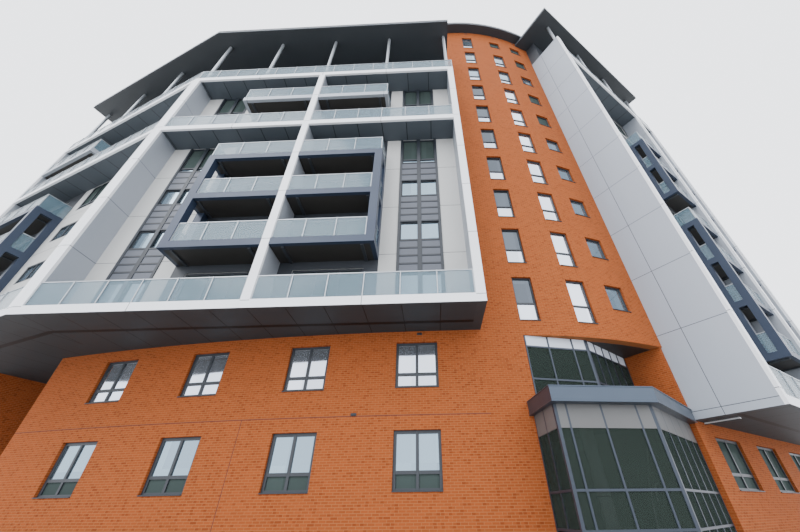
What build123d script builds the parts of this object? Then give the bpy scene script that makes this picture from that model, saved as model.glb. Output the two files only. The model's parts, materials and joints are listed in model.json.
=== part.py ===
from build123d import *
import math
import os

# Apartment block at half its real size, in millimetres: a real storey of 2850 mm is 1425 mm here.
# +X runs to the right along the main front, +Y into the building and +Z up from the ground.
# The origin lies under the middle of the main block, between its two balcony stacks.

# Heights
ground_rise = 735
base_storey = 1536
storey = 1425
floor_thickness = 110
deck_thickness = 150
fascia_rise = 20
roof_thickness = 150
roof_drop = 65
tower_rise = 128
tower_roof_thickness = 180

# Storeys over the foot of the frame, up to the terraces and over them
main_storeys = 6
right_storeys = 8
set_back_storeys = 2

# Plan of the wings, with the right one set out from the right corner of the main front
half_front = 4225
block_depth = 7000
left_turn = 20.25
left_length = 7200
right_turn = 35.7
right_length = 6375
right_depth = 7100
right_start = 4678
right_setback = 848
right_divider_start = 4835

# Walls and frame
post_width = 170
strip_depth = 60
recess_depth = 650
light_wall = 150
brick_wall = 175
penthouse_setback = 940
roof_overhang = 350
right_roof_overhang = 250
column_radius = 55
column_inset = 162
roof_side = 140
roof_return = 600
roof_gap = 12

# Brick base, with a short straight end beside the tower
base_setback = 1130
base_radius = 38500
base_straight = 859
left_base_setback = 1610
right_base_setback = 1400
passage_near = 1521
passage_far = 4054
base_window_width = 788
base_window_pitch = 2085
base_sill = 305
base_head = 1160
right_base_window_width = 1130
ground_slab = 110

# Brick tower, with its curve set out from the right corner of the main front
tower_radius = 8032
tower_start = 333
tower_depth = 6200
tower_columns = ((3.4, 6.45), (12.1, 15.3), (19.1, 22.6))
lintel_drop = 281
tall_sill = 30
tower_head = 1075
short_sill = 440
top_sill = 390
top_head = 930
tower_roof_start = -5.15
tower_roof_end = 27.2
tower_roof_side = 83

# Balconies and railings
rail_height = 535
rail_size = 22
glass_thickness = 12
steel_width = 90
steel_post = 180
railing_inset = 20
railing_corner_gap = 25
main_box_width = 2105
left_box_start = 4180
right_box_start = 3500
right_box_front = 100

# Windows and balcony doors, with heights over the floor of their storey
strip_width = 940
main_strip_start = 685
strip_to_box = 410
strip_sill = 370
strip_head = 945
tall_strip_sill = 220
door_width = 1500
right_door_width = 900
door_sill = 20
door_head = 1080
plain_window_width = 900
plain_sill = 370
plain_head = 1020

# Entrance bay and the glazed recess over it, from the right corner of the main front
canopy_bottom = 2070
canopy_top = 2301
canopy_left = (639, 1130)
canopy_front_left = (750, 181)
canopy_front_right = (2376, 392)
entrance_left = (707, 1130)
entrance_front_left = (800, 331)
entrance_front_right = (2341, 542)
recess_clearance = 6
recess_setback = 20
recess_corner = (2120, 1471)
screen_return = 52
spandrel_bottom = 1745
entrance_rails = (585, 1005)
recess_rails = (2700, 3310)
soffit_thickness = 40
return_thickness = 75
return_start = 1390
return_end = 2210
end_gap = 4
lobby_floor_top = 60
screen_depth = 44
mullion_width = 30
corner_margin = 4
pane_inset = 10
pane_thickness = 14
spandrel_thickness = 30
lobby_column = (1540, 1230)
lobby_column_radius = 100

first = ground_rise + base_storey
level_a = first + base_storey


def level(number):
    """Height of a floor, counted from the foot of the frame on the main front."""
    return level_a + number * storey


terrace = level(main_storeys)
right_terrace = level(right_storeys)
main_soffit = level(main_storeys + set_back_storeys) - roof_drop
right_soffit = level(right_storeys + set_back_storeys) - roof_drop
fin_top = level(right_storeys + 1)
tower_top = right_soffit + roof_thickness + tower_rise
lintel_height = level_a - lintel_drop
main_front_y = -block_depth / 2
corner_width = screen_depth + corner_margin
nodes = {}


def add(name, *solids):
    """Puts solids into a named piece of the building."""
    nodes.setdefault(name, []).extend(solids)


def prism(points, z):
    """Upright solid over a plan outline, between two heights."""
    outline = Wire.make_polygon([Vector(x, y, z[0]) for x, y in points], close=True)
    return Solid.extrude(Face(outline), Vector(0, 0, z[1] - z[0]))


def curved_prism(arc, corners, z):
    """Upright solid with an arc through three points in front and corners behind it."""
    front = [Vector(x, y, z[0]) for x, y in arc]
    rest = [front[2], *[Vector(x, y, z[0]) for x, y in reversed(corners)], front[0]]
    edges = [Edge.make_three_point_arc(*front)]
    edges += [Edge.make_line(a, b) for a, b in zip(rest, rest[1:])]
    return Solid.extrude(Face(Wire(edges)), Vector(0, 0, z[1] - z[0]))


def crossing(a, b, c, d):
    """Point where the line through a and b meets the line through c and d."""
    across = (b[0] - a[0]) * (d[1] - c[1]) - (b[1] - a[1]) * (d[0] - c[0])
    share = ((c[0] - a[0]) * (d[1] - c[1]) - (c[1] - a[1]) * (d[0] - c[0])) / across
    return (a[0] + (b[0] - a[0]) * share, a[1] + (b[1] - a[1]) * share)


def on_path(a, b, run, inset):
    """Point at a run from a towards b and an inset to the building's side of that line."""
    length = math.dist(a, b)
    way = ((b[0] - a[0]) / length, (b[1] - a[1]) / length)
    return (a[0] + way[0] * run - way[1] * inset, a[1] + way[1] * run + way[0] * inset)


def inset_path(points, distance):
    """Path parallel to one that crosses the front from left to right, further into the building."""
    lines = []
    for a, b in zip(points, points[1:]):
        lines.append((on_path(a, b, 0, distance), on_path(a, b, math.dist(a, b), distance)))
    corners = [crossing(*line, *following) for line, following in zip(lines, lines[1:])]
    return [lines[0][0], *corners, lines[-1][1]]


def circle_point(centre, radius, angle):
    """Point on a front that bulges towards -Y, with the angle counted from straight ahead."""
    turn = math.radians(angle)
    return (centre[0] + radius * math.sin(turn), centre[1] - radius * math.cos(turn))


def angle_on_line(centre, radius, a, b):
    """Angle at which the front of a circle meets the line through a and b."""
    length = math.dist(a, b)
    way = ((b[0] - a[0]) / length, (b[1] - a[1]) / length)
    offset = (a[0] - centre[0], a[1] - centre[1])
    middle = offset[0] * way[0] + offset[1] * way[1]
    reach = math.sqrt(middle ** 2 - offset[0] ** 2 - offset[1] ** 2 + radius ** 2)
    points = [(a[0] - way[0] * (middle + end), a[1] - way[1] * (middle + end)) for end in (reach, -reach)]
    x, y = min(points, key=lambda point: point[1])
    return math.degrees(math.atan2(x - centre[0], centre[1] - y))


class Wing:
    """A straight stretch of the building, set out along its front and inwards from it."""

    def __init__(self, corner, turn, side, length, depth, mitre):
        angle = math.radians(turn)
        self.corner = corner
        self.way = (side * math.cos(angle), side * math.sin(angle))
        self.inward = (-side * self.way[1], side * self.way[0])
        self.length = length
        self.depth = depth
        self.rear_face = depth - light_wall
        self.slant = math.tan(math.radians(mitre))

    def point(self, u, v):
        """Plan point at a distance along the front and a distance into the building."""
        x = self.corner[0] + u * self.way[0] + v * self.inward[0]
        y = self.corner[1] + u * self.way[1] + v * self.inward[1]
        return (x, y)

    def start(self, v):
        """Where the wing begins at a depth: on its mitre with the next wing."""
        return v * self.slant

    def slab(self, outline, z):
        """Solid over an outline in the wing's own directions."""
        return prism([self.point(*corner) for corner in outline], z)

    def block(self, u, v, z):
        """Solid between two distances along, two inwards and two heights."""
        return self.slab([(u[0], v[0]), (u[1], v[0]), (u[1], v[1]), (u[0], v[1])], z)

    def mitred(self, end, v, z):
        """Block that begins on the mitre."""
        return self.slab([(self.start(v[0]), v[0]), (end, v[0]), (end, v[1]), (self.start(v[1]), v[1])], z)


main = Wing((-half_front, main_front_y), 0, 1, 2 * half_front, block_depth, left_turn / 2)
left = Wing((-half_front, main_front_y), -left_turn, -1, left_length, block_depth, left_turn / 2)
right_corner = (half_front + right_start, main_front_y + right_setback)
right = Wing(right_corner, right_turn, 1, right_length, right_depth, 0)
fin_line = (right.point(0, 0), right.point(0, right.depth))
base_centre = (half_front - base_straight, main_front_y + base_setback + base_radius)
tower_centre = (half_front + tower_start, main_front_y + base_setback + tower_radius)


def from_right_corner(spot):
    """Plan point set out from the right corner of the main front."""
    return main.point(main.length + spot[0], spot[1])


def centred(span, width):
    """Stretch of a width in the middle of a longer one."""
    middle = sum(span) / 2
    return (middle - width / 2, middle + width / 2)


def wall_stretches(low, high, holes):
    """Stretches of wall that holes leave between two heights."""
    marks = [low, *[mark for hole in holes for mark in hole], high]
    return [(a, b) for a, b in zip(marks[::2], marks[1::2]) if b > a]


def pierced_wall(wing, name, v, z, ends, columns):
    """Wall in piers beside its window columns and panels under, between and over the windows."""
    columns = sorted(columns)
    marks = [mark for span, holes in columns for mark in span]
    if ends[0] is None:
        add(name + "_piers", wing.mitred(marks[0], v, z))
    else:
        add(name + "_piers", wing.block((ends[0], marks[0]), v, z))
    marks.append(ends[1])
    for span in zip(marks[1::2], marks[2::2]):
        add(name + "_piers", wing.block(span, v, z))
    for span, holes in columns:
        for heights in wall_stretches(*z, holes):
            add(name + "_panels", wing.block(span, v, heights))


def even_columns(ends, count, width, holes):
    """Window columns spaced evenly along a wall."""
    pitch = (ends[1] - ends[0]) / count
    middles = [ends[0] + (n + 0.5) * pitch for n in range(count)]
    return [((middle - width / 2, middle + width / 2), holes) for middle in middles]


def plain_holes(floors):
    """Plain windows, one over each of the floors."""
    return [(height + plain_sill, height + plain_head) for height in floors]


def strip_holes(floors, decks):
    """Windows of a strip, one a storey, that reach up to a deck where one is overhead."""
    holes = []
    for floor, ceiling in zip(floors, [*floors[1:], decks[-1]]):
        if ceiling in decks:
            holes.append((floor + tall_strip_sill, ceiling - deck_thickness))
        else:
            holes.append((floor + strip_sill, floor + strip_head))
    return holes


def door_holes(floors):
    """Balcony doors, one over each floor."""
    return [(floor + door_sill, floor + door_head) for floor in floors]


def recess_wall(wing, ends, strips, doors, floors, decks):
    """Light wall behind the balconies, with its window strips and balcony doors."""
    v = (recess_depth, recess_depth + light_wall)
    z = (floors[0], decks[-1] - deck_thickness)
    columns = [((u, u + strip_width), strip_holes(floors, decks)) for u in strips]
    columns += [(span, door_holes(floors)) for span in doors]
    pierced_wall(wing, "recess_wall", v, z, ends, columns)


def floor_slab(wing, name, front, ends, height):
    """Floor from the inside of the front wall to the inside of the rear wall."""
    rear = wing.rear_face
    start = wing.start(front) if ends[0] is None else ends[0]
    rear_start = wing.start(rear) if ends[0] is None else ends[0]
    outline = [(start, front), (ends[1], front), (ends[1], rear), (rear_start, rear)]
    add(name, wing.slab(outline, (height - floor_thickness, height)))


def full_slab(wing, name, end, height):
    """Deck and floor in one, from behind the white edge to the rear wall."""
    rear = wing.rear_face
    outline = [(post_width, strip_depth), (end, strip_depth), (end, rear)]
    if wing.slant:
        outline += [(wing.start(rear), rear), (wing.start(recess_depth), recess_depth),
                    (post_width, recess_depth)]
    else:
        outline.append((post_width, rear))
    add(name, wing.slab(outline, (height - deck_thickness, height)))


def frame_beam(wing, span, height):
    """White edge of a deck."""
    z = (height - deck_thickness, height + fascia_rise)
    add("frame_beams", wing.block(span, (0, strip_depth), z))


def outer_deck(wing, span, height):
    """Deck in front of the recessed wall, behind its white edge."""
    frame_beam(wing, span, height)
    z = (height - deck_thickness, height)
    add("frame_decks", wing.block(span, (strip_depth, recess_depth), z))


def front_rail(wing, span, v, height, name):
    """Railing of a long glass pane between two posts, under a handrail."""
    z = (height + fascia_rise, height + rail_height - rail_size)
    pane = (span[0] + rail_size, span[1] - rail_size)
    for near in (span[0], pane[1]):
        add(name + "_rail_posts", wing.block((near, near + rail_size), (v, v + rail_size), z))
    middle = v + (rail_size - glass_thickness) / 2
    add(name + "_glass", wing.block(pane, (middle, middle + glass_thickness), z))
    top = (z[1], z[1] + rail_size)
    add(name + "_handrails", wing.block(span, (v, v + rail_size), top))


def side_rail(wing, u, v, height, name):
    """Railing pane with its handrail along the end of a deck."""
    z = (height + fascia_rise, height + rail_height - rail_size)
    middle = u + (rail_size - glass_thickness) / 2
    add(name + "_glass", wing.block((middle, middle + glass_thickness), v, z))
    top = (z[1], z[1] + rail_size)
    add(name + "_handrails", wing.block((u, u + rail_size), v, top))


def at_free_end(span, free, near, far):
    """Part of a balcony's width between two distances from its free end."""
    if free == "start":
        return (span[0] + near, span[0] + far)
    return (span[1] - far, span[1] - near)


def shortened(span, free, length):
    """A balcony's width less a length at its free end, if it has one."""
    if free == "start":
        return (span[0] + length, span[1])
    if free == "end":
        return (span[0], span[1] - length)
    return span


def balcony(wing, span, front, height, edge_name, free, post=0):
    """Balcony of a dark deck behind its edge beams, railed in front and at its free end."""
    z = (height - deck_thickness, height + fascia_rise)
    inner = (front + steel_width, recess_depth)
    add(edge_name, wing.block(span, (front, inner[0]), z))
    deck = shortened(span, free, steel_width)
    add("balcony_decks", wing.block(deck, inner, (height - deck_thickness, height)))
    v = front + railing_inset
    front_rail(wing, shortened(span, free, post or railing_inset), v, height, "balcony")
    if free:
        add(edge_name, wing.block(at_free_end(span, free, 0, steel_width), inner, z))
        u = at_free_end(span, free, railing_inset, railing_inset + rail_size)[0]
        run = (front + post, recess_depth - post) if post else (v + rail_size, recess_depth)
        side_rail(wing, u, run, height, "balcony")


def steel_box(wing, span, front, numbers, free):
    """Stack of balconies in a steel box, with posts in front and behind at its free end."""
    for n in numbers:
        post = steel_post if n < numbers[-1] else 0
        balcony(wing, span, front, level(n), "balcony_beams", free, post)
    if free:
        u = at_free_end(span, free, 0, steel_post)
        for n in numbers[:-1]:
            z = (level(n) + fascia_rise, level(n + 1) - deck_thickness)
            for v in ((front, front + steel_post), (recess_depth - steel_post, recess_depth)):
                add("balcony_frame_posts", wing.block(u, v, z))


def corner_post(wing, low, high):
    """Post on the corner that two wings share: a white strip in front of a silver wall."""
    add("frame_strips", wing.mitred(post_width, (0, strip_depth), (low, high + fascia_rise)))
    add("frame_side_walls", wing.mitred(post_width, (strip_depth, recess_depth), (low, high)))


def terrace_column(wing, u, z):
    """Round column under a roof."""
    x, y = wing.point(u, column_inset)
    column = Solid.make_cylinder(column_radius, z[1] - z[0])
    add("terrace_columns", column.moved(Location((x, y, z[0]))))


def terrace_columns(wing, numbers, count, z):
    """Columns from the terrace up to the roof, evenly spaced."""
    pitch = (wing.length - 2 * column_inset) / count
    for n in numbers:
        terrace_column(wing, column_inset + n * pitch, z)


def penthouse(wing, ends, count, heights, floors):
    """Set-back wall of the top storeys."""
    v = (penthouse_setback, penthouse_setback + light_wall)
    start = wing.start(penthouse_setback + light_wall) if ends[0] is None else ends[0]
    columns = even_columns((start, ends[1]), count, plain_window_width, plain_holes(floors))
    pierced_wall(wing, "penthouse", v, heights, ends, columns)


def rear_walls(wing, ends, count, low, high, floors, name):
    """Rear wall of a wing with evenly spaced windows."""
    start = wing.start(wing.depth) if ends[0] is None else ends[0]
    columns = even_columns((start, ends[1]), count, plain_window_width, plain_holes(floors))
    pierced_wall(wing, name, (wing.rear_face, wing.depth), (low, high), ends, columns)


def base_angle(run):
    """Angle on the curved base wall at a distance to the left of its straight end."""
    return -math.degrees(math.asin(run / base_radius))


def base_window_angles():
    """Window columns of the curved base wall, from right to left."""
    spans = []
    for n in range(4):
        near = n * base_window_pitch
        spans.append((base_angle(near + base_window_width), base_angle(near)))
    return spans


def base_wall_segment(angles, z):
    """Segment of the curved base wall with a flat inner face."""
    outer = [circle_point(base_centre, base_radius, a) for a in (angles[0], sum(angles) / 2, angles[1])]
    inner = [circle_point(base_centre, base_radius - brick_wall, a) for a in angles]
    return curved_prism(outer, inner, z)


def base_holes():
    """Windows of the brick base, one over each of its two floors."""
    return [(height + base_sill, height + base_head) for height in (ground_rise, first)]


def base_inner_front():
    """Inside corners of the curved base wall, from right to left."""
    inner_radius = base_radius - brick_wall
    angles = [angle for span in base_window_angles() for angle in reversed(span)]
    angles.append(angle_on_line(base_centre, inner_radius, *passage_line(passage_near)))
    start = (half_front, main_front_y + base_setback + brick_wall)
    return [start, *[circle_point(base_centre, inner_radius, angle) for angle in angles]]


def passage_line(u):
    """Line into the building along the passage."""
    return (left.point(u, 0), left.point(u, block_depth))


def main_base():
    """Gently curved brick wall under the main front, with its two rows of windows."""
    z = (0, level_a - deck_thickness)
    spans = base_window_angles()
    inner = base_inner_front()
    y = main_front_y + base_setback
    add("base_piers", prism([(base_centre[0], y), (half_front, y), inner[0], inner[1]], z))
    for right_span, left_span in zip(spans, spans[1:]):
        add("base_piers", base_wall_segment((left_span[1], right_span[0]), z))
    for span in spans:
        for heights in wall_stretches(*z, base_holes()):
            add("base_panels", base_wall_segment(span, heights))
    begin = spans[-1][0]
    outer_end = angle_on_line(base_centre, base_radius, *passage_line(passage_near))
    arc = [circle_point(base_centre, base_radius, a) for a in (outer_end, (outer_end + begin) / 2, begin)]
    add("base_piers", curved_prism(arc, [inner[-1], inner[-2]], z))
    near = passage_line(passage_near - brick_wall)
    outline = [crossing(*inner[-2:], *near), inner[-1], left.point(passage_near, block_depth), near[1]]
    add("base_cross_walls", prism(outline, z))


def main_base_floor(height):
    """Floor behind the curved wall, in two parts that meet on the mitre."""
    inner = base_inner_front()
    z = (height - floor_thickness, height)
    rear = main.rear_face
    rear_corner = main.point(main.start(rear), rear)
    mitre = (main.corner, rear_corner)
    split = crossing(*inner[-2:], *mitre)
    right_end = main.length - post_width
    front = main.point(right_end, base_setback + brick_wall)
    outline = [front, *inner[1:-1], split, rear_corner, main.point(right_end, rear)]
    add("main_floors", prism(outline, z))
    near = passage_line(passage_near - brick_wall)
    outline = [split, crossing(*inner[-2:], *near), left.point(passage_near - brick_wall, rear), rear_corner]
    add("left_floors", prism(outline, z))


def left_base():
    """Brick base of the left wing, beyond the passage."""
    top = level_a - deck_thickness
    end = left_length - brick_wall
    v = (left_base_setback, left_base_setback + brick_wall)
    columns = even_columns((passage_far + brick_wall, end), 2, base_window_width, base_holes())
    pierced_wall(left, "base", v, (0, top), (passage_far, end), columns)
    far = (passage_far, passage_far + brick_wall)
    add("base_cross_walls", left.block(far, (v[1], block_depth), (0, top)))
    add("base_end_walls", left.block((end, left_length), (left_base_setback, block_depth), (0, top)))
    for height in (ground_slab, ground_rise, first):
        floor_slab(left, "left_floors", v[1], (far[1], end), height)


def right_base():
    """Low brick base of the right wing."""
    top = first - deck_thickness
    end = right_length - brick_wall
    v = (right_base_setback, right_base_setback + brick_wall)
    holes = [(ground_rise + base_sill, ground_rise + base_head)]
    columns = even_columns((post_width, end), 3, right_base_window_width, holes)
    pierced_wall(right, "base", v, (0, top), (0, end), columns)
    add("base_end_walls", right.block((end, right_length), (right_base_setback, right.depth), (0, top)))
    for height in (ground_slab, ground_rise):
        floor_slab(right, "right_floors", v[1], (post_width, end), height)


def tower_segment(angles, z):
    """Segment of the curved tower wall with a flat inner face."""
    outer = [circle_point(tower_centre, tower_radius, a) for a in (angles[0], sum(angles) / 2, angles[1])]
    inner = [circle_point(tower_centre, tower_radius - brick_wall, a) for a in angles]
    return curved_prism(outer, inner, z)


def tower_inner_front():
    """Inside corners of the tower's curved wall, from left to right."""
    inner_radius = tower_radius - brick_wall
    marks = [angle for span in tower_columns for angle in span]
    marks.append(angle_on_line(tower_centre, inner_radius, *fin_line))
    start = (half_front, main_front_y + base_setback + brick_wall)
    return [start, *[circle_point(tower_centre, inner_radius, angle) for angle in marks]]


def tower_holes(column):
    """Windows of one tower column: tall beside the frame, short beside the fin, small at the top."""
    sill = short_sill if column == 2 else tall_sill
    top = right_storeys + 1
    holes = [(level(n) + sill, level(n) + tower_head) for n in range(top)]
    if column == 0:
        return [*holes, (level(top) + tall_sill, level(top) + tower_head)]
    return [*holes, (level(top) + top_sill, level(top) + top_head)]


def brick_tower():
    """Curved brick front of the tower, over the glazed recess."""
    z = (lintel_height, tower_top)
    first_angle = tower_columns[0][0]
    arc = [circle_point(tower_centre, tower_radius, a) for a in (0, first_angle / 2, first_angle)]
    y = main_front_y + base_setback
    inner = tower_inner_front()
    add("tower_piers", curved_prism(arc, [(half_front, y), inner[0], inner[1]], (0, tower_top)))
    for span, following in zip(tower_columns, tower_columns[1:]):
        add("tower_piers", tower_segment((span[1], following[0]), z))
    begin = tower_columns[-1][1]
    outer_end = angle_on_line(tower_centre, tower_radius, *fin_line)
    arc = [circle_point(tower_centre, tower_radius, a) for a in (begin, (begin + outer_end) / 2, outer_end)]
    add("tower_piers", curved_prism(arc, inner[-2:], z))
    for column, span in enumerate(tower_columns):
        for heights in wall_stretches(*z, tower_holes(column)):
            add("tower_panels", tower_segment(span, heights))


def tower_rear(depth):
    """Line across the tower at a depth, from the right wing's side to the main block's."""
    near = main.point(main.length, depth)
    return [crossing(near, main.point(0, depth), *fin_line), near]


def tower_back():
    """Rear wall and upper side walls of the tower, and its floors."""
    inner = tower_rear(tower_depth - light_wall)
    outer = tower_rear(tower_depth)
    add("tower_rear_wall", prism([inner[1], inner[0], *outer], (0, tower_top)))
    side = (main.length - post_width, main.length)
    low = main_soffit + roof_thickness
    add("tower_side_walls", main.block(side, (base_setback, tower_depth), (low, tower_top)))
    low = right_soffit + roof_thickness
    v = (right_base_setback + brick_wall, math.dist(right.corner, outer[0]))
    add("tower_side_walls", right.block((0, post_width), v, (low, tower_top)))
    corners = [*tower_inner_front(), *inner]
    for n in range(right_storeys + set_back_storeys):
        add("tower_floors", prism(corners, (level(n) - floor_thickness, level(n))))


def tower_roof():
    """Roof that follows the tower's curve and overhangs it."""
    radius = tower_radius + roof_overhang
    angles = (tower_roof_start, (tower_roof_start + tower_roof_end) / 2, tower_roof_end)
    arc = [circle_point(tower_centre, radius, angle) for angle in angles]
    back = (arc[0][0], main_front_y + tower_depth + light_wall)
    side = (right.point(tower_roof_side, 0), right.point(tower_roof_side, right.depth))
    corners = [back, crossing(back, (half_front, back[1]), *side)]
    add("tower_roof", curved_prism(arc, corners, (tower_top, tower_top + tower_roof_thickness)))


def screen_panel(a, b, run, inset, z):
    """Upright piece along a screen's line."""
    corners = [on_path(a, b, run[0], inset[0]), on_path(a, b, run[1], inset[0]),
               on_path(a, b, run[1], inset[1]), on_path(a, b, run[0], inset[1])]
    return prism(corners, z)


def corner_mullion(before, corner, after, z):
    """Post on a corner of a screen."""
    run = math.dist(before, corner) - corner_width
    outline = [on_path(before, corner, run, 0), corner, on_path(corner, after, corner_width, 0),
               on_path(corner, after, corner_width, screen_depth), on_path(before, corner, run, screen_depth)]
    add("screen_posts", prism(outline, z))


def screen_bay(a, b, run, z, rails, spandrel):
    """Rails and panes between two posts."""
    half = mullion_width / 2
    marks = [(rail - half, rail + half) for rail in rails]
    for mark in marks:
        add("screen_rails", screen_panel(a, b, run, (0, screen_depth), mark))
    pane = (pane_inset, pane_inset + pane_thickness)
    top = spandrel if spandrel else z[1]
    for heights in wall_stretches(z[0], top, marks):
        add("screen_glass", screen_panel(a, b, run, pane, heights))
    if spandrel:
        inset = (0, spandrel_thickness)
        add("screen_spandrels", screen_panel(a, b, run, inset, (spandrel, z[1])))


def screen(path, stations, z, rails, spandrel=None):
    """Glazed screen along a path, with posts at its ends, corners and stations."""
    for index, (a, b) in enumerate(zip(path, path[1:])):
        length = math.dist(a, b)
        begin = corner_width if index else mullion_width
        end = length - (corner_width if index < len(path) - 2 else mullion_width)
        edges = [begin]
        for station in stations[index]:
            post = (station - mullion_width / 2, station + mullion_width / 2)
            add("screen_posts", screen_panel(a, b, post, (0, screen_depth), z))
            edges += post
        edges.append(end)
        for run in zip(edges[::2], edges[1::2]):
            screen_bay(a, b, run, z, rails, spandrel)
        if index:
            corner_mullion(path[index - 1], a, b, z)
    add("screen_posts", screen_panel(path[0], path[1], (end_gap, mullion_width), (0, screen_depth), z))
    last = math.dist(path[-2], path[-1])
    post = (last - mullion_width, last - end_gap)
    add("screen_posts", screen_panel(path[-2], path[-1], post, (0, screen_depth), z))


def entrance():
    """Glazed entrance bay with its canopy, and the glazed recess over it."""
    front = [from_right_corner(spot) for spot in (canopy_left, canopy_front_left, canopy_front_right)]
    end = circle_point(tower_centre, tower_radius, angle_on_line(tower_centre, tower_radius, *fin_line))
    path = entrance_path(front[2], end)
    stations = ([400], [195, 735, 1290], [430, 860, 1290, 1720])
    screen(path, stations, (lobby_floor_top, canopy_bottom), entrance_rails, spandrel_bottom)
    upper = recess_path()
    screen(upper, ([490, 1010], [300, 620, 940, 1270]), (canopy_top, lintel_height), recess_rails)
    inner = inset_path(upper, screen_depth)
    v = (return_start, return_end)
    add("recess_return", right.block((-return_thickness, 0), v, (canopy_top, lintel_height)))
    back = right.point(0, return_end)
    canopy = [*front, end, back, inner[2], inner[1], (upper[0][0], upper[0][1] + screen_depth),
              (upper[0][0], front[0][1])]
    add("entrance_canopy", prism(canopy, (canopy_bottom, canopy_top)))
    chord = tower_inner_front()
    soffit = [crossing(*inner[:2], *chord[2:4]), *chord[3:], back, inner[2], inner[1]]
    add("recess_soffit", prism(soffit, (lintel_height, lintel_height + soffit_thickness)))
    rear = tower_rear(tower_depth - light_wall)
    recess_floor = [*chord[:2], inner[1], inner[2], back, *rear]
    add("recess_floor", prism(recess_floor, (first - floor_thickness, first)))
    add("lobby_floor", prism([*chord[:2], pier_edge(), *path, *rear], (0, lobby_floor_top)))
    x, y = from_right_corner(lobby_column)
    column = Solid.make_cylinder(lobby_column_radius, canopy_bottom - lobby_floor_top)
    add("lobby_column", column.moved(Location((x, y, lobby_floor_top))))


def entrance_path(canopy_corner, canopy_end):
    """Line of the entrance glazing, behind the canopy's edges and on to the fin."""
    corners = [from_right_corner(spot) for spot in (entrance_left, entrance_front_left, entrance_front_right)]
    x, y = corners[2]
    beside = (x + canopy_end[0] - canopy_corner[0], y + canopy_end[1] - canopy_corner[1])
    return [*corners, crossing(corners[2], beside, *fin_line)]


def pier_edge():
    """Outer corner of the tower's first pier, beside the glazing."""
    return circle_point(tower_centre, tower_radius, tower_columns[0][0])


def recess_path():
    """Line of the recess glazing, from the tower's first pier to the return beside the fin."""
    start = (pier_edge()[0] + recess_clearance, main_front_y + base_setback + recess_setback)
    return [start, from_right_corner(recess_corner), right.point(-return_thickness, return_end - screen_return)]


def cross_walls():
    """Walls that carry the floors between the wings, with the silver fin in front of the right one."""
    side = (main.length - post_width, main.length)
    v = (base_setback + brick_wall, block_depth)
    add("cross_walls", main.block(side, v, (0, main_soffit)))
    fin = (0, post_width)
    v = (right_base_setback + brick_wall, right.depth)
    add("cross_walls", right.block(fin, v, (0, right_soffit)))
    z = (first - deck_thickness, fin_top)
    add("right_fin", right.block(fin, (strip_depth, right_base_setback + brick_wall), z))
    add("frame_strips", right.block(fin, (0, strip_depth), z))
    v = (penthouse_setback, right_base_setback + brick_wall)
    add("penthouse_ends", right.block(fin, v, (fin_top, right_soffit)))
    terrace_column(right, post_width / 2, (fin_top, right_soffit))
    v = (penthouse_setback, base_setback + brick_wall)
    add("penthouse_ends", main.block(side, v, (terrace, main_soffit)))


def end_wall(wing, low, high, soffit):
    """Silver end wall of a wing, with its white strip and the set-back end of the top storeys."""
    span = (wing.length - post_width, wing.length)
    add("frame_strips", wing.block(span, (0, strip_depth), (low, high + fascia_rise)))
    add("end_walls", wing.block(span, (strip_depth, wing.depth), (low, high)))
    add("penthouse_ends", wing.block(span, (penthouse_setback, wing.depth), (high, soffit)))


def terrace_rail(wing, start, height):
    """Railing along the front of a terrace and back along its open end."""
    front_rail(wing, (start, wing.length), railing_inset, height, "terrace")
    v = (railing_inset + rail_size, penthouse_setback)
    side_rail(wing, wing.length - rail_size, v, height, "terrace")


def main_block():
    """Main front between A and its terrace: frame, decks, recessed wall and balconies."""
    low = level_a - deck_thickness
    end = main.length - post_width
    divider = centred((0, main.length), post_width)
    corner_post(main, low, terrace)
    side = (end, main.length)
    add("frame_strips", main.block(side, (0, strip_depth), (low, terrace + fascia_rise)))
    add("frame_side_walls", main.block(side, (strip_depth, base_setback + brick_wall), (low, terrace)))
    add("frame_strips", main.block(divider, (0, strip_depth), (low, terrace - deck_thickness)))
    z = (level_a, terrace - deck_thickness)
    add("frame_side_walls", main.block(divider, (strip_depth, recess_depth), z))
    halves = ((post_width, divider[0]), (divider[1], end))
    boxes = ((divider[0] - main_box_width, divider[0]), (divider[1], divider[1] + main_box_width))
    for half, box, free in zip(halves, boxes, ("start", "end")):
        frame_beam(main, half, level_a)
        outer_deck(main, half, level(4))
        for height in (level_a, level(4)):
            front_rail(main, half, railing_inset, height, "terrace")
        steel_box(main, box, 0, (1, 2, 3), free)
        balcony(main, box, 0, level(5), "balcony_silver_edges", free)
    frame_beam(main, (post_width, end), terrace)
    terrace_rail(main, railing_corner_gap, terrace)
    full_slab(main, "main_floors", end, level_a)
    full_slab(main, "main_floors", end, terrace)
    strips = (main_strip_start, main.length - main_strip_start - strip_width)
    doors = [centred(box, door_width) for box in boxes]
    floors = [level(n) for n in range(main_storeys)]
    recess_wall(main, (None, end), strips, doors, floors, (level(4), terrace))
    for height in floors[1:]:
        floor_slab(main, "main_floors", recess_depth + light_wall, (None, end), height)
    for height in (ground_slab, ground_rise, first):
        main_base_floor(height)


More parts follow.
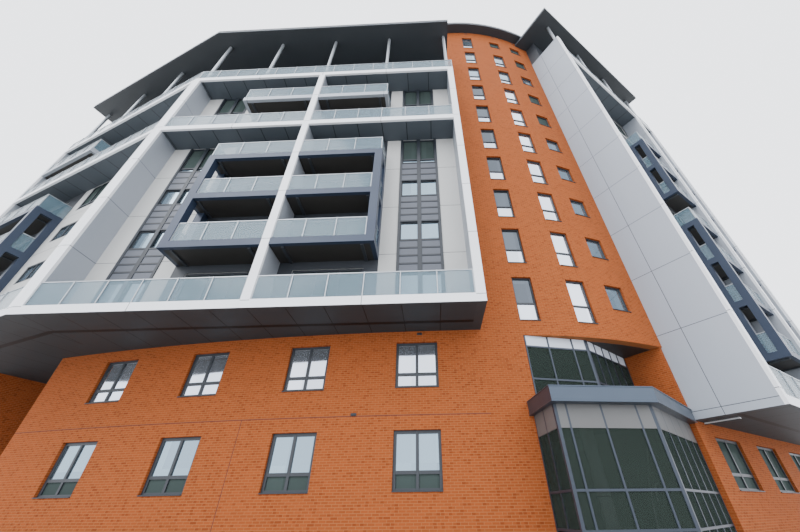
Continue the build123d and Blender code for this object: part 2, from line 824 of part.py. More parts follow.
def top_storeys():
    """Set-back top storeys with their columns and roofs."""
    end = main.length - post_width
    back = penthouse_setback + light_wall
    left_end = left.length - post_width
    right_end = right.length - post_width
    floors = (terrace, level(main_storeys + 1))
    penthouse(main, (None, end), 5, (terrace, main_soffit), floors)
    penthouse(left, (None, left_end), 4, (terrace, main_soffit), floors)
    floor_slab(main, "main_floors", back, (None, end), floors[1])
    floor_slab(left, "left_floors", back, (None, left_end), floors[1])
    floors = (right_terrace, level(right_storeys + 1))
    penthouse(right, (post_width, right_end), 4, (right_terrace, right_soffit), floors)
    floor_slab(right, "right_floors", back, (post_width, right_end), floors[1])
    terrace_columns(main, range(5), 4, (terrace, main_soffit))
    terrace_columns(left, range(1, 4), 3, (terrace, main_soffit))
    terrace_columns(right, range(1, 4), 3, (right_terrace, right_soffit))
    wing_roof(main, main.length, "main_roof")
    wing_roof(left, left.length + roof_side, "left_roof")
    right_roof()


def wing_roof(wing, end, name):
    """Flat roof that overhangs the terrace and meets the next roof on the mitre."""
    v = (-roof_overhang, wing.depth + light_wall)
    add(name, wing.mitred(end, v, (main_soffit, main_soffit + roof_thickness)))


def right_roof():
    """Roof of the right wing, with the part that reaches past the fin to the tower."""
    z = (right_soffit, right_soffit + roof_thickness)
    v = (-right_roof_overhang, right.depth + light_wall)
    radius = tower_radius + roof_gap
    line = (right.point(-roof_return, 0), right.point(-roof_return, right.depth))
    tower_side = [circle_point(tower_centre, radius, angle_on_line(tower_centre, radius, *edge))
                  for edge in (fin_line, line)]
    end = right.length + roof_side
    outline = [right.point(-roof_return, v[0]), right.point(end, v[0]), right.point(end, v[1]),
               right.point(0, v[1]), *tower_side]
    add("right_roof", prism(outline, z))


def left_block():
    """Front of the left wing, turned back from the main front."""
    low = level_a - deck_thickness
    end = left.length - post_width
    span = (post_width, end)
    corner_post(left, low, terrace)
    end_wall(left, low, terrace, main_soffit)
    frame_beam(left, span, level_a)
    outer_deck(left, span, level(4))
    frame_beam(left, span, terrace)
    for height in (level_a, level(4)):
        front_rail(left, span, railing_inset, height, "terrace")
    terrace_rail(left, railing_corner_gap, terrace)
    box = (left_box_start, end)
    steel_box(left, box, 0, (1, 2, 3), "start")
    balcony(left, box, 0, level(5), "balcony_silver_edges", "start")
    full_slab(left, "left_floors", end, level_a)
    full_slab(left, "left_floors", end, terrace)
    strips = (left_box_start - strip_to_box - strip_width,)
    floors = [level(n) for n in range(main_storeys)]
    recess_wall(left, (None, end), strips, [centred(box, door_width)], floors, (level(4), terrace))
    for height in floors[1:]:
        floor_slab(left, "left_floors", recess_depth + light_wall, (None, end), height)


def right_block():
    """Front of the right wing, between the fin and its end wall."""
    end = right.length - post_width
    span = (post_width, end)
    divider = (right_divider_start, right_divider_start + post_width)
    end_wall(right, first - deck_thickness, right_terrace, right_soffit)
    frame_beam(right, span, first)
    frame_beam(right, span, right_terrace)
    top = right_terrace - deck_thickness
    add("frame_strips", right.block(divider, (0, strip_depth), (first + fascia_rise, top)))
    add("frame_side_walls", right.block(divider, (strip_depth, recess_depth), (first, top)))
    for half in ((post_width, divider[0]), (divider[1], end)):
        front_rail(right, half, railing_inset, first, "terrace")
    terrace_rail(right, post_width, right_terrace)
    bays = ((right_box_start, divider[0]), (divider[1], end))
    for bay, free in zip(bays, ("start", None)):
        steel_box(right, bay, right_box_front, (0, 1, 2, 3), free)
        steel_box(right, bay, right_box_front, (4, 5, 6), free)
    full_slab(right, "right_floors", end, first)
    full_slab(right, "right_floors", end, right_terrace)
    strips = (right_box_start - strip_to_box - strip_width,)
    floors = [first, *[level(n) for n in range(right_storeys)]]
    doors = [centred(bay, right_door_width) for bay in bays]
    recess_wall(right, (post_width, end), strips, doors, floors, (right_terrace,))
    for height in floors[1:]:
        floor_slab(right, "right_floors", recess_depth + light_wall, (post_width, end), height)


def rear():
    """Plain rear walls: brick under the frame's foot and light panels over it."""
    base_floors = (ground_rise, first)
    end = main.length - post_width
    top = level_a - deck_thickness
    upper = [level(n) for n in range(main_storeys + set_back_storeys)]
    rear_walls(main, (None, end), 4, 0, top, base_floors, "rear_base")
    rear_walls(main, (None, end), 4, top, main_soffit, upper, "rear_wall")
    near = passage_near - brick_wall
    left_end = left.length - post_width
    add("rear_base_piers", left.mitred(near, (left.rear_face, left.depth), (0, top)))
    rear_walls(left, (passage_far + brick_wall, left.length - brick_wall), 1, 0, top, base_floors, "rear_base")
    rear_walls(left, (None, left_end), 3, top, main_soffit, upper, "rear_wall")
    low = first - deck_thickness
    right_end = right.length - post_width
    rear_walls(right, (post_width, right.length - brick_wall), 3, 0, low, (ground_rise,), "rear_base")
    floors = [first, *[level(n) for n in range(right_storeys + set_back_storeys)]]
    rear_walls(right, (post_width, right_end), 3, low, right_soffit, floors, "rear_wall")


main_base()
left_base()
right_base()
main_block()
left_block()
right_block()
brick_tower()
tower_back()
tower_roof()
entrance()
cross_walls()
top_storeys()
rear()

os.makedirs("parts", exist_ok=True)
for name, solids in nodes.items():
    shape = solids[0] if len(solids) == 1 else Compound(children=solids)
    export_step(shape, f"parts/{name}.step")
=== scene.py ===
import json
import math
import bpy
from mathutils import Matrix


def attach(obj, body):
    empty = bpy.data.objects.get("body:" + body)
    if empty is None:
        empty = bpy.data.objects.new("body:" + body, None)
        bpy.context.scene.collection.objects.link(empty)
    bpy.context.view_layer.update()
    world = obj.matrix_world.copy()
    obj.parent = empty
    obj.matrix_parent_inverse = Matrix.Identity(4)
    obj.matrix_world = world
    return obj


bl_info = {
    "name": "Apartment block looks",
    "version": (1, 0, 0),
    "blender": (4, 5, 0),
    "location": "3D View > Sidebar > Apartment block",
    "description": "Dresses the apartment block with its windows, railings, brickwork and panels",
    "category": "Object",
}

import bmesh
import bpy
from mathutils import Matrix, Vector

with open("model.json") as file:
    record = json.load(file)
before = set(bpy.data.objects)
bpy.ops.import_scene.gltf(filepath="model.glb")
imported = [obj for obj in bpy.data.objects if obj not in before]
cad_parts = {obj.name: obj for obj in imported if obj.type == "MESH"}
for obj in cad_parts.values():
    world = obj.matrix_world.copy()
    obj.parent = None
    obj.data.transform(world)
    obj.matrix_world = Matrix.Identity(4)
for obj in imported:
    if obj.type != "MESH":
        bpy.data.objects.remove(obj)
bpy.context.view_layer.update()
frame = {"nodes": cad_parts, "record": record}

# Heights shared with the solids, in metres
GROUND_RISE = 0.735
FIRST = 2.271
LEVEL_A = 3.807
STOREY = 1.425
DECK = 0.15
FASCIA_RISE = 0.02
ROOF_DROP = 0.065
RAIL_HEIGHT = 0.535
ROOF = 0.15

# Plan of the wings, shared with the solids
FRONT_Y = -3.5
HALF_FRONT = 4.225
LEFT_LENGTH = 7.2
RIGHT_LENGTH = 6.375
RIGHT_CORNER = (8.903, -2.652)
POST = 0.17
DEPTH = 7.0
RIGHT_DEPTH = 7.1
RECESS = 0.65
PENTHOUSE = 0.94
WALL = 0.15
BRICK_WALL = 0.175
ROOF_OVERHANG = 0.35
RIGHT_OVERHANG = 0.25
LEFT_BASE = 1.61
RIGHT_BASE = 1.4
PASSAGE_FAR = 4.054
RECESS_HEAD = 3.31

# Curved walls, shared with the solids
TOWER_CENTRE = Vector((4.558, 5.662))
TOWER_RADIUS = 8.032
TOWER_TOP = 18.27
TOWER_COLUMNS = ((3.4, 6.45), (12.1, 15.3), (19.1, 22.6))
TOWER_STOREYS = 10
TOWER_ROOF_ANGLES = (-5.15, 27.2)
BASE_CENTRE = Vector((3.366, 36.13))
BASE_RADIUS = 38.5
BASE_PITCH = 2.085
BASE_COLUMNS = 4

# Entrance canopy, shared with the solids
CANOPY_CORNERS = ((4.864, -2.37), (4.975, -3.319), (6.601, -3.108), (8.11, -1.55))
CANOPY_FOOT = 2.07
CANOPY_HEAD = 2.285

# Windows and doors over the floor of their storey, shared with the solids
BASE_WINDOW = (0.788, 0.305, 1.16)
RIGHT_BASE_WIDTH = 1.13
PLAIN_WINDOW = (0.9, 0.37, 1.02)
STRIP_WIDTH = 0.94
STRIP_HEIGHTS = (0.37, 0.945)
TALL_STRIP_SILL = 0.22
DOOR_HEIGHTS = (0.02, 1.08)
TALL_SILL = 0.03
SHORT_SILL = 0.44
TOWER_HEAD = 1.075
TOP_HEIGHTS = (0.39, 0.93)

# Storeys whose panes or posts differ from the others'
TOWER_SKY_STOREY = 7
TOWER_BLUE_STOREYS = (0, 1, 2, 3, 4, 7)
SLIM_BOX_STOREY = 3
RIGHT_SLIM_STOREYS = (3, 6)

# Bars of the windows, as shares of their width and height
MIDDLE = (0.5,)
LOW_RAIL = (0.3,)
TOWER_RAIL = (0.4,)
TALL_STRIP_RAIL = (0.16,)
MULLION_SHARE = 1.6
LEVEL_BAR_SHARE = 0.8

# How far windows stand back from their walls, and how pieces meet what carries them
STRIP_INSET = 0.01
FRAME_INSET = 0.02
REAR_INSET = 0.03
BAR_STEP = 0.002
SEAT = 0.002
NUDGE = 0.001
SOFT = 0.003

# Window strips, dark plates round the balcony doors (partly cladding, partly painted shade), railing posts,
# ribs and roof lines
STRIP_BAR_PITCH = 0.21
STRIP_PANEL = 0.006
CLADDING_AND_SHADE = 0.008
CLADDING_AND_SHADE_GAP = 0.005
RAIL_POST_FRONT = 0.008
RAIL_POST_BACK = 0.0245
SLIM_POST = 0.02
RIB = 0.06
RIB_SHARES = (0.12, 0.88)
BEAM = 0.09
LOWER_TRIM = 0.05
TRIM_REACHES = (0.006, 0.01)
TRIM_STEPS = 40
ROOF_END = 0.14
RIGHT_ROOF_START = -0.6
CANOPY_EDGE = 0.018
CANOPY_LAP = 0.004
CANOPY_PROUD = 0.008

# Vents as width, height and reach, with their slats, the lamp, and the routes of the handrails indoors
BASE_VENTS = ((1.876, 2.151), (3.028, 3.595))
VENT = (0.1, 0.044, 0.018)
VENT_SLATS = 3
SLAT_LOW = (-0.042, -0.024, -0.016)
SLAT_HIGH = (0.042, -0.016, -0.011)
SLAT_STEP = 0.012
TOWER_VENTS = (5, 14, 21)
TOWER_VENT_DROP = 0.13
TOWER_VENT = (0.12, 0.04, 0.014)
LAMP_PLACE = (0.45, 0.82)
LAMP_LOW = (-0.03, 0, -0.035)
LAMP_HIGH = (0.03, 0.58, NUDGE)
HANDRAIL_RADIUS = 0.012
HANDRAIL_ROUTES = (
    ((7.05, -1.6, 1.75), (6.95, -1.45, 1.3), (6.9, -1.3, 0.7), (6.85, -1.35, 0.45), (6.6, -1.5, 0.42)),
    ((6.75, -1.75, 1.05), (6.8, -1.7, 1.25), (6.95, -1.6, 1.3), (7.0, -1.5, 1.3)),
    ((6.8, -1.75, 0.9), (6.85, -1.7, 1.1), (6.98, -1.6, 1.15), (7.02, -1.5, 1.15)),
    ((6.9, -1.35, 0.075), (6.9, -1.32, 0.4), (6.9, -1.3, 0.7)),
)

# Patterns: straight walls of the base, its band and seam, the fin's joints, panel bays and pane cells
STRAIGHT_LEFT = 3.0
STRAIGHT_RIGHT = 4.3
BAND_HEIGHT = 2.125
SEAM_X = -0.13
BURNT_ABOVE = 0.88
FIN_SPLIT = 0.885
FIN_FOOT_JOINT = FIRST - 0.015
FIN_JOINT_DROP = 0.03
BEAM_BAY = 2.07
SOFFIT_START = 0.235
GROOVE_INSET = 0.735
PANE_CELL = (0.41, 0.5, 0.475)

# Where the camera stands, and its right and up
CAMERA_PLACE = (3.253, -8.52, 0.8)
CAMERA_RIGHT = Vector((0.99913, 0.04073, -0.00924))
CAMERA_UP = Vector((0.03174, -0.59699, 0.80161))

# The stage: its floor, its sky and its lamps with their turns, strengths and angles
FLOOR_SIZE = 120
FLOOR_DROP = 0.005
FLOOR_TONE = (190, 190, 188)
SKY_TONE = (236, 239, 245)
SKY_STRENGTH = 3.5
LAMPS = (("key_light", (48, 0, -35), 0.9, 30), ("fill_light", (60, 0, 60), 0.3, 60))


def level(number):
    """Height of a floor, counted from the foot of the frame on the main front."""
    return LEVEL_A + number * STOREY


TERRACE = level(6)
RIGHT_TERRACE = level(8)
MAIN_SOFFIT = level(8) - ROOF_DROP
RIGHT_SOFFIT = level(10) - ROOF_DROP
RIGHT_FLOORS = (FIRST, *[level(n) for n in range(8)])
LOWER_FLOORS = tuple(level(n) for n in range(4))
UPPER_FLOORS = (level(4), level(5))


class Stretch:
    """A straight stretch of the front, with distances along it, inwards and up."""

    def __init__(self, corner, turn, side, length, mitre):
        angle = math.radians(turn)
        self.corner = Vector((corner[0], corner[1], 0))
        self.way = Vector((side * math.cos(angle), side * math.sin(angle), 0))
        self.inward = Vector((-side * self.way.y, side * self.way.x, 0))
        self.length = length
        self.slant = math.tan(math.radians(mitre))

    def place(self, u, v, z):
        """Matrix of a place on the stretch, with X along it, Y inwards and Z up."""
        spot = self.corner + self.way * u + self.inward * v + Vector((0, 0, z))
        turn = Matrix((self.way, self.inward, Vector((0, 0, 1)))).transposed()
        return Matrix.Translation(spot) @ turn.to_4x4()

    def outward(self, u, v, z):
        """Matrix of a place on the rear, with X along it and Y into the building."""
        return self.place(u, v, z) @ Matrix.Scale(-1, 4, (0, 1, 0))


main_front = Stretch((-HALF_FRONT, FRONT_Y), 0, 1, 2 * HALF_FRONT, 10.125)
left_front = Stretch((-HALF_FRONT, FRONT_Y), -20.25, -1, LEFT_LENGTH, 10.125)
right_front = Stretch(RIGHT_CORNER, 35.7, 1, RIGHT_LENGTH, 0)

# Balcony boxes: the stretch and where they start and end, then the storeys that have them
LEFT_BOX = (left_front, 4.18, 7.03)
MAIN_BOXES = ((main_front, 2.035, 4.14), (main_front, 4.31, 6.415))
RIGHT_BOXES = ((right_front, 3.5, 4.835), (right_front, 5.005, 6.205))
BOX_STOREYS = (1, 2, 3, 5)
RIGHT_BOX_STOREYS = range(7)
BOX_POST = 0.18
RIGHT_BOX_FRONT = 0.1
DOOR_WIDTH = 1.5
RIGHT_DOOR = 0.9
STRIPS = ((main_front, 0.685), (main_front, 6.825), (left_front, 2.83), (right_front, 2.15))


def arc_place(centre, radius, angle, z):
    """Matrix of a place on a bulging wall, with X along it, Y inwards and Z up."""
    turn = math.radians(angle)
    way = Vector((math.cos(turn), math.sin(turn), 0))
    inward = Vector((-math.sin(turn), math.cos(turn), 0))
    spot = Vector((centre.x, centre.y, z)) - inward * radius
    return Matrix.Translation(spot) @ Matrix((way, inward, Vector((0, 0, 1)))).transposed().to_4x4()


def linear(value):
    """Linear share of a display value of 0 to 255."""
    share = value / 255
    return share / 12.92 if share <= 0.04045 else ((share + 0.055) / 1.055) ** 2.4


def paint(colour):
    """Linear colour with full alpha from display values."""
    return (*[linear(value) for value in colour], 1.0)


def size(name, description, default):
    """Property of a length in metres."""
    return bpy.props.FloatProperty(name=name, description=description, default=default, min=0.001,
                                   precision=4, unit="LENGTH")


def tint(name, description, colour):
    """Property of a colour with a display default."""
    return bpy.props.FloatVectorProperty(name=name, description=description, size=3, min=0.0, max=1.0,
                                         default=paint(colour)[:3], subtype="COLOR")


class BlockSizes(bpy.types.PropertyGroup):
    """Sizes of the fittings that the frame leaves open."""

    window_bar: size("Window bar", "Width of the bars round a window", 0.05)
    window_depth: size("Window depth", "Depth of a window's frame", 0.05)
    window_inset: size("Window inset", "How far the windows stand back from the brick", 0.05)
    tower_bar: size("Tower bar", "Width of the bars of the tower's windows", 0.03)
    pane: size("Pane", "Thickness of a window pane", 0.008)
    sill: size("Sill", "Thickness of a window sill", 0.016)
    sill_reach: size("Sill reach", "How far a sill stands out from the brick", 0.018)
    strip_bar: size("Strip bar", "Width of the bars across a window strip", 0.044)
    strip_post: size("Strip post", "Width of the upright bars of a window strip", 0.06)
    strip_proud: size("Strip reach", "How far a strip's bars stand out from the wall", 0.02)
    rail_bay: size("Railing bay", "Distance between the slim posts of a railing", 0.67)
    rail_post: size("Railing post", "Width of a railing's slim post", 0.02)
    joint: size("Panel joint", "Width of the open joints between panels", 0.011)
    soffit_bay: size("Soffit bay", "Width of the panels under the decks", 0.675)
    soffit_joint: size("Soffit joint", "Width of the joints between the panels under the decks", 0.018)
    foot_groove: size("Foot groove", "Width of the groove along the underside of the frame's foot", 0.095)
    brick_length: size("Brick length", "Length of a brick with its joint", 0.1125)
    brick_height: size("Brick height", "Height of a brick with its joint", 0.0375)
    mortar: size("Mortar", "Width of the joint between bricks", 0.0085)
    roof_trim: size("Roof trim", "Height of the light line along a roof's edge", 0.018)


class BlockColours(bpy.types.PropertyGroup):
    """Colours of the building's finishes."""

    brick: tint("Brick", "Face of the bricks", (139, 70, 33))
    brick_dark: tint("Burnt brick", "Darker bricks here and there", (100, 42, 20))
    mortar: tint("Mortar", "Joints between the bricks", (152, 98, 60))
    silver: tint("Silver panels", "Side walls, end walls and the fin", (158, 164, 173))
    strip: tint("Strip panels", "Panels between the windows of a strip", (84, 88, 97))
    white: tint("White edges", "Edges and strips of the frame", (234, 236, 240))
    cream: tint("Light panels", "Walls behind the balconies", (188, 188, 186))
    joint: tint("Joints", "Open joints between panels", (60, 64, 70))
    frame: tint("Window frames", "Bars of the windows", (37, 42, 49))
    screen: tint("Entrance frames", "Posts and rails of the entrance glazing", (45, 53, 65))
    spandrel: tint("Entrance panels", "Panels over the entrance glazing", (88, 88, 88))
    canopy: tint("Canopy", "Edge of the entrance canopy", (68, 78, 91))
    steel: tint("Balcony steel", "Beams and posts of the balcony boxes", (44, 55, 74))
    deck: tint("Deck undersides", "Undersides of the balconies", (44, 42, 40))
    # Under the roofs this colour is darkened as painted shade
    soffit: tint("Soffits", "Panels under the decks and roofs", (72, 79, 86))
    foot: tint("Foot soffits", "Panels under the foot of the frame", (45, 51, 55))
    # Dark cladding colour; on the plates behind the balcony boxes it also stands for painted shade under the
    # boxes
    cladding: tint("Dark cladding", "Set-back walls and the walls behind the boxes", (46, 50, 56))
    roof: tint("Roofs", "Edges and tops of the roofs", (52, 58, 66))
    concrete: tint("Floors", "Floor slabs inside", (120, 120, 116))
    metal: tint("Rails", "Handrails, slim posts and columns", (166, 171, 176))
    railing_glass: tint("Railing glass", "Frosted panes of the railings", (112, 138, 152))
    entrance_glass: tint("Entrance glass", "Panes of the entrance glazing", (46, 54, 50))
    pale_pane: tint("Pale panes", "Panes that mirror the bright sky", (206, 212, 222))
    grey_pane: tint("Grey panes", "Panes with a blind behind them", (90, 96, 103))
    blue_pane: tint("Blue panes", "Panes that mirror a deeper sky", (138, 156, 168))
    dark_pane: tint("Dark panes", "Panes of unlit rooms", (62, 72, 70))


class Piece:
    """Collects the shaped parts of one piece and turns them into its object."""

    def __init__(self, name):
        self.name = name
        self.mesh = bmesh.new()
        self.scratch = bpy.data.meshes.new("scratch")

    def take(self, part, place):
        """Moves a shaped part to its place and joins it to the piece."""
        bmesh.ops.transform(part, matrix=place, verts=part.verts)
        if place.determinant() < 0:
            bmesh.ops.reverse_faces(part, faces=part.faces)
        part.to_mesh(self.scratch)
        part.free()
        self.mesh.from_mesh(self.scratch)

    def block(self, place, low, high, bevel=0.0):
        """Block between two corners of a place, with softened edges where asked."""
        part = bmesh.new()
        bmesh.ops.create_cube(part, size=1)
        bmesh.ops.scale(part, vec=[high[i] - low[i] for i in range(3)], verts=part.verts)
        bmesh.ops.translate(part, vec=[(high[i] + low[i]) / 2 for i in range(3)], verts=part.verts)
        if bevel:
            bmesh.ops.bevel(part, geom=part.edges[:], offset=bevel, affect="EDGES", segments=1,
                            profile=0.5, material=-1)
        self.take(part, place)

    def arc_band(self, centre, radii, angles, heights, steps):
        """Band along a bulging wall between two radii, two angles and two heights."""
        part = bmesh.new()
        start = arc_place(centre, radii[1], angles[0], 0)
        depth = radii[1] - radii[0]
        low, high = heights
        corners = ((0, 0, low), (0, depth, low), (0, depth, high), (0, 0, high))
        verts = [part.verts.new(start @ Vector(corner)) for corner in corners]
        face = part.faces.new(verts)
        bmesh.ops.spin(part, geom=[face, *face.edges, *verts], cent=(centre.x, centre.y, 0), axis=(0, 0, 1),
                       angle=math.radians(angles[1] - angles[0]), steps=steps, use_merge=False)
        bmesh.ops.recalc_face_normals(part, faces=part.faces)
        # The spin leaves the faces in another order each time, so they are put in a fixed one
        part.verts.index_update()
        part.faces.sort(key=lambda face: sum(vert.index ** 2 for vert in face.verts))
        self.take(part, Matrix())

    def plate(self, place, size, bevel):
        """Plate of a width, height and reach on a wall, with a place at its middle."""
        width, height, reach = size
        self.block(place, (-width / 2, -reach, -height / 2), (width / 2, SEAT, height / 2), bevel)

    def finish(self, look, slot):
        """Object of the piece with its finish, riding with the building."""
        data = bpy.data.meshes.new(self.name)
        self.mesh.to_mesh(data)
        self.mesh.free()
        bpy.data.meshes.remove(self.scratch)
        piece = bpy.data.objects.new(self.name, data)
        bpy.context.scene.collection.objects.link(piece)
        data.materials.append(finish_of(look))
        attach(piece, "root")
        return piece


class Glazing:
    """Frames, sills and panes of a group of windows."""

    def __init__(self, name, bar, look="dark_frame"):
        self.name = name
        self.bar = bar
        self.look = look
        self.depth = sizes().window_depth
        self.frames = Piece(name + "_frames")
        self.panes = {}

    def pane(self, tone, place, low, high):
        """Pane of a tone between two corners of a window."""
        if tone not in self.panes:
            self.panes[tone] = Piece(self.name + "_" + tone + "s")
        middle = self.depth / 2
        self.panes[tone].block(place, (low[0], middle, low[1]), (high[0], middle + sizes().pane, high[1]))

    def window(self, place, width, height, columns, rows, tones):
        """Window from the corner at its foot, with bars at shares of it and a tone for each row of panes."""
        bar, depth = self.bar, self.depth
        half = bar / 2
        uprights = [0, bar, *[width * s + e for s in columns for e in (-half, half)], width - bar, width]
        rails = [0, bar, *[height * s + e for s in rows for e in (-half, half)], height - bar, height]
        gaps = list(zip(uprights[1::2], uprights[2::2]))
        for near, far in zip(uprights[::2], uprights[1::2]):
            self.frames.block(place, (near, 0, 0), (far, depth, height), SOFT)
        for low, high in zip(rails[::2], rails[1::2]):
            for near, far in gaps:
                self.frames.block(place, (near, BAR_STEP, low), (far, depth, high))
        for row, (low, high) in enumerate(zip(rails[1::2], rails[2::2])):
            tone = tones[min(row, len(tones) - 1)]
            for near, far in gaps:
                self.pane(tone, place, (near, low), (far, high))

    def sill(self, place, width, inset):
        """Sill under a window that stands back by an inset."""
        s = sizes()
        self.frames.block(place, (0, -inset - s.sill_reach, 0), (width, -NUDGE, s.sill), SOFT)

    def finish(self):
        """Objects of the frames and of each tone of pane."""
        self.frames.finish(self.look, "dark_frame")
        for tone, piece in self.panes.items():
            piece.finish(tone, "clear_glass")


def sizes():
    """The sizes kept with the scene."""
    return bpy.context.scene.block_sizes


def colour(name):
    """A colour kept with the scene, with full alpha."""
    return (*getattr(bpy.context.scene.block_colours, name), 1.0)


def shade(value, share):
    """Colour made darker or lighter by a share."""
    return (*[min(1.0, channel * share) for channel in value[:3]], 1.0)


class Value:
    """A shader socket with arithmetic."""

    def __init__(self, shader, socket):
        self.shader = shader
        self.socket = socket

    def join(self, operation, first, second=None):
        """Math node of one or two values."""
        sockets = {0: first} if second is None else {0: first, 1: second}
        return self.shader.node("ShaderNodeMath", {"operation": operation}, sockets)

    def __add__(self, other):
        return self.join("ADD", self, other)

    def __radd__(self, other):
        return self.join("ADD", other, self)

    def __sub__(self, other):
        return self.join("SUBTRACT", self, other)

    def __rsub__(self, other):
        return self.join("SUBTRACT", other, self)

    def __mul__(self, other):
        return self.join("MULTIPLY", self, other)

    def __rmul__(self, other):
        return self.join("MULTIPLY", other, self)

    def __truediv__(self, other):
        return self.join("DIVIDE", self, other)

    def __lt__(self, other):
        return self.join("LESS_THAN", self, other)

    def __gt__(self, other):
        return self.join("GREATER_THAN", self, other)

    def __abs__(self):
        return self.join("ABSOLUTE", self)

    def __mod__(self, other):
        return self.join("FLOORED_MODULO", self, other)

    def floor(self):
        """Whole part of the value."""
        return self.join("FLOOR", self)

    def larger(self, other):
        """The larger of two values."""
        return self.join("MAXIMUM", self, other)

    def angle_over(self, other):
        """Angle of a direction with this run across and the other ahead."""
        return self.join("ARCTAN2", self, other)

    def line(self, spacing, width):
        """One within a width round each multiple of a spacing, and zero elsewhere."""
        return abs((self + spacing / 2) % spacing - spacing / 2) < width / 2

    def mark(self, width):
        """One within a width round zero, and zero elsewhere."""
        return abs(self) < width / 2


class Shader:
    """A material under construction."""

    def __init__(self, name):
        self.material = bpy.data.materials.new(name + "_finish")
        self.material.use_nodes = True
        self.tree = self.material.node_tree
        self.surface = self.tree.nodes["Principled BSDF"]
        self.coordinates = self.node("ShaderNodeTexCoord", {}, {}, "Object")
        self.x, self.y, self.z = self.split(self.coordinates)

    def node(self, kind, settings, sockets, output=0):
        """Node of a type with its settings and the values or links of its sockets."""
        node = self.tree.nodes.new(kind)
        for key, value in settings.items():
            setattr(node, key, value)
        for key, value in sockets.items():
            if isinstance(value, Value):
                self.tree.links.new(value.socket, node.inputs[key])
            else:
                node.inputs[key].default_value = value
        return Value(self, node.outputs[output])

    def split(self, vector):
        """The three parts of a vector."""
        first = self.node("ShaderNodeSeparateXYZ", {}, {0: vector})
        return [Value(self, first.socket.node.outputs[i]) for i in range(3)]

    def facing(self):
        """The three parts of the direction that the surface faces."""
        return self.split(self.node("ShaderNodeNewGeometry", {}, {}, "True Normal"))

    def underside(self):
        """One on faces that look down, and zero elsewhere."""
        return self.facing()[2] < -0.5

    def arc(self, centre, radius):
        """Distance along a bulging wall."""
        return (self.x - centre.x).angle_over(centre.y - self.y) * radius

    def luck(self, *cells):
        """Random number of a cell, from its numbers along two or three directions."""
        cell = self.node("ShaderNodeCombineXYZ", {}, dict(enumerate(cells)))
        settings = {"noise_dimensions": f"{len(cells)}D"}
        return self.node("ShaderNodeTexWhiteNoise", settings, {"Vector": cell}, "Value")

    def mix(self, factor, first, second):
        """Colour between two colours."""
        return self.node("ShaderNodeMix", {"data_type": "RGBA"}, {0: factor, 6: first, 7: second}, 2)

    def noise(self, scale, detail=3.0):
        """Soft noise over the surface."""
        sockets = {"Vector": self.coordinates, "Scale": scale, "Detail": detail}
        return self.node("ShaderNodeTexNoise", {}, sockets, "Fac")

    def streaks(self, along, height):
        """Noise drawn out downwards, as rain leaves on a wall."""
        factors = {0: self.coordinates, 1: (along, along, height)}
        stretched = self.node("ShaderNodeVectorMath", {"operation": "MULTIPLY"}, factors)
        return self.node("ShaderNodeTexNoise", {}, {"Vector": stretched, "Scale": 1.0, "Detail": 4.0}, "Fac")

    def weathered(self, tone, low=0.9, high=1.06, scale=1.1):
        """Colour with slow changes of tone, as weather leaves on a surface."""
        return self.mix(self.noise(scale, 5.0), shade(tone, low), shade(tone, high))

    def bump(self, height, strength, distance):
        """Normal from a height."""
        sockets = {"Strength": strength, "Distance": distance, "Height": height}
        return self.node("ShaderNodeBump", {}, sockets, "Normal")

    def put(self, **values):
        """Values or links on the surface shader's sockets."""
        for key, value in values.items():
            socket = self.surface.inputs[key.replace("_", " ")]
            if isinstance(value, Value):
                self.tree.links.new(value.socket, socket)
            else:
                socket.default_value = value

    def run(self, stretch):
        """Distances along a stretch of the front and inwards from it."""
        x = self.x - stretch.corner.x
        y = self.y - stretch.corner.y
        return (x * stretch.way.x + y * stretch.way.y, x * stretch.inward.x + y * stretch.inward.y)


def brickwork(name, wall):
    """Stretcher-bond brickwork on a flat wall, on the curved base or on the tower."""
    shader = Shader(name)
    s = sizes()
    x, z = shader.x, shader.z
    face_x, face_y = shader.facing()[:2]
    along = shader.y * face_x - x * face_y
    if wall == "tower":
        along = shader.arc(TOWER_CENTRE, TOWER_RADIUS)
    if wall == "base":
        straight = (shader.run(left_front)[0] > STRAIGHT_LEFT).larger(x > STRAIGHT_RIGHT)
        along = shader.arc(BASE_CENTRE, BASE_RADIUS) * (1 - straight) + along * straight
    plane = shader.node("ShaderNodeCombineXYZ", {}, {0: along, 1: z})
    sockets = {"Vector": plane, "Scale": 1.0, "Mortar Size": s.mortar / 2, "Mortar Smooth": 0.2, "Bias": 0.0,
               "Brick Width": s.brick_length, "Row Height": s.brick_height,
               "Color1": shade(colour("brick"), 1.12), "Color2": shade(colour("brick"), 0.86),
               "Mortar": colour("mortar")}
    bricks, mortar = [shader.node("ShaderNodeTexBrick", {"offset": 0.5}, sockets, output)
                      for output in ("Color", "Fac")]
    luck = shader.luck((along / (s.brick_length / 2)).floor(), (z / s.brick_height).floor())
    burnt = (luck > BURNT_ABOVE) * (1 - mortar)
    rain = shader.streaks(0.9, 0.35)
    aired = shader.mix(burnt * 0.55, bricks, colour("brick_dark"))
    aired = shader.mix(rain * 0.4, aired, shade(colour("brick"), 1.3))
    seams = 0
    if wall == "base":
        band = (z - BAND_HEIGHT).mark(0.016) * (1 - straight)
        seams = band.larger((x - SEAM_X).mark(0.014) * (z < BAND_HEIGHT))
        aired = shader.mix(seams * 0.75, aired, colour("brick_dark"))
        aired = shader.mix(seams * 0.35, aired, colour("joint"))
    shader.put(Base_Color=aired, Roughness=luck * 0.08 + 0.82, Specular_IOR_Level=0.12)
    shader.put(Normal=shader.bump(luck * 0.3 - mortar - seams, 0.5, 0.004))
    return shader.material


def foot_panels(shader):
    """Colour of the panels under the foot of the frame."""
    return shader.weathered(colour("foot"), 0.85, 1.1, 0.5)


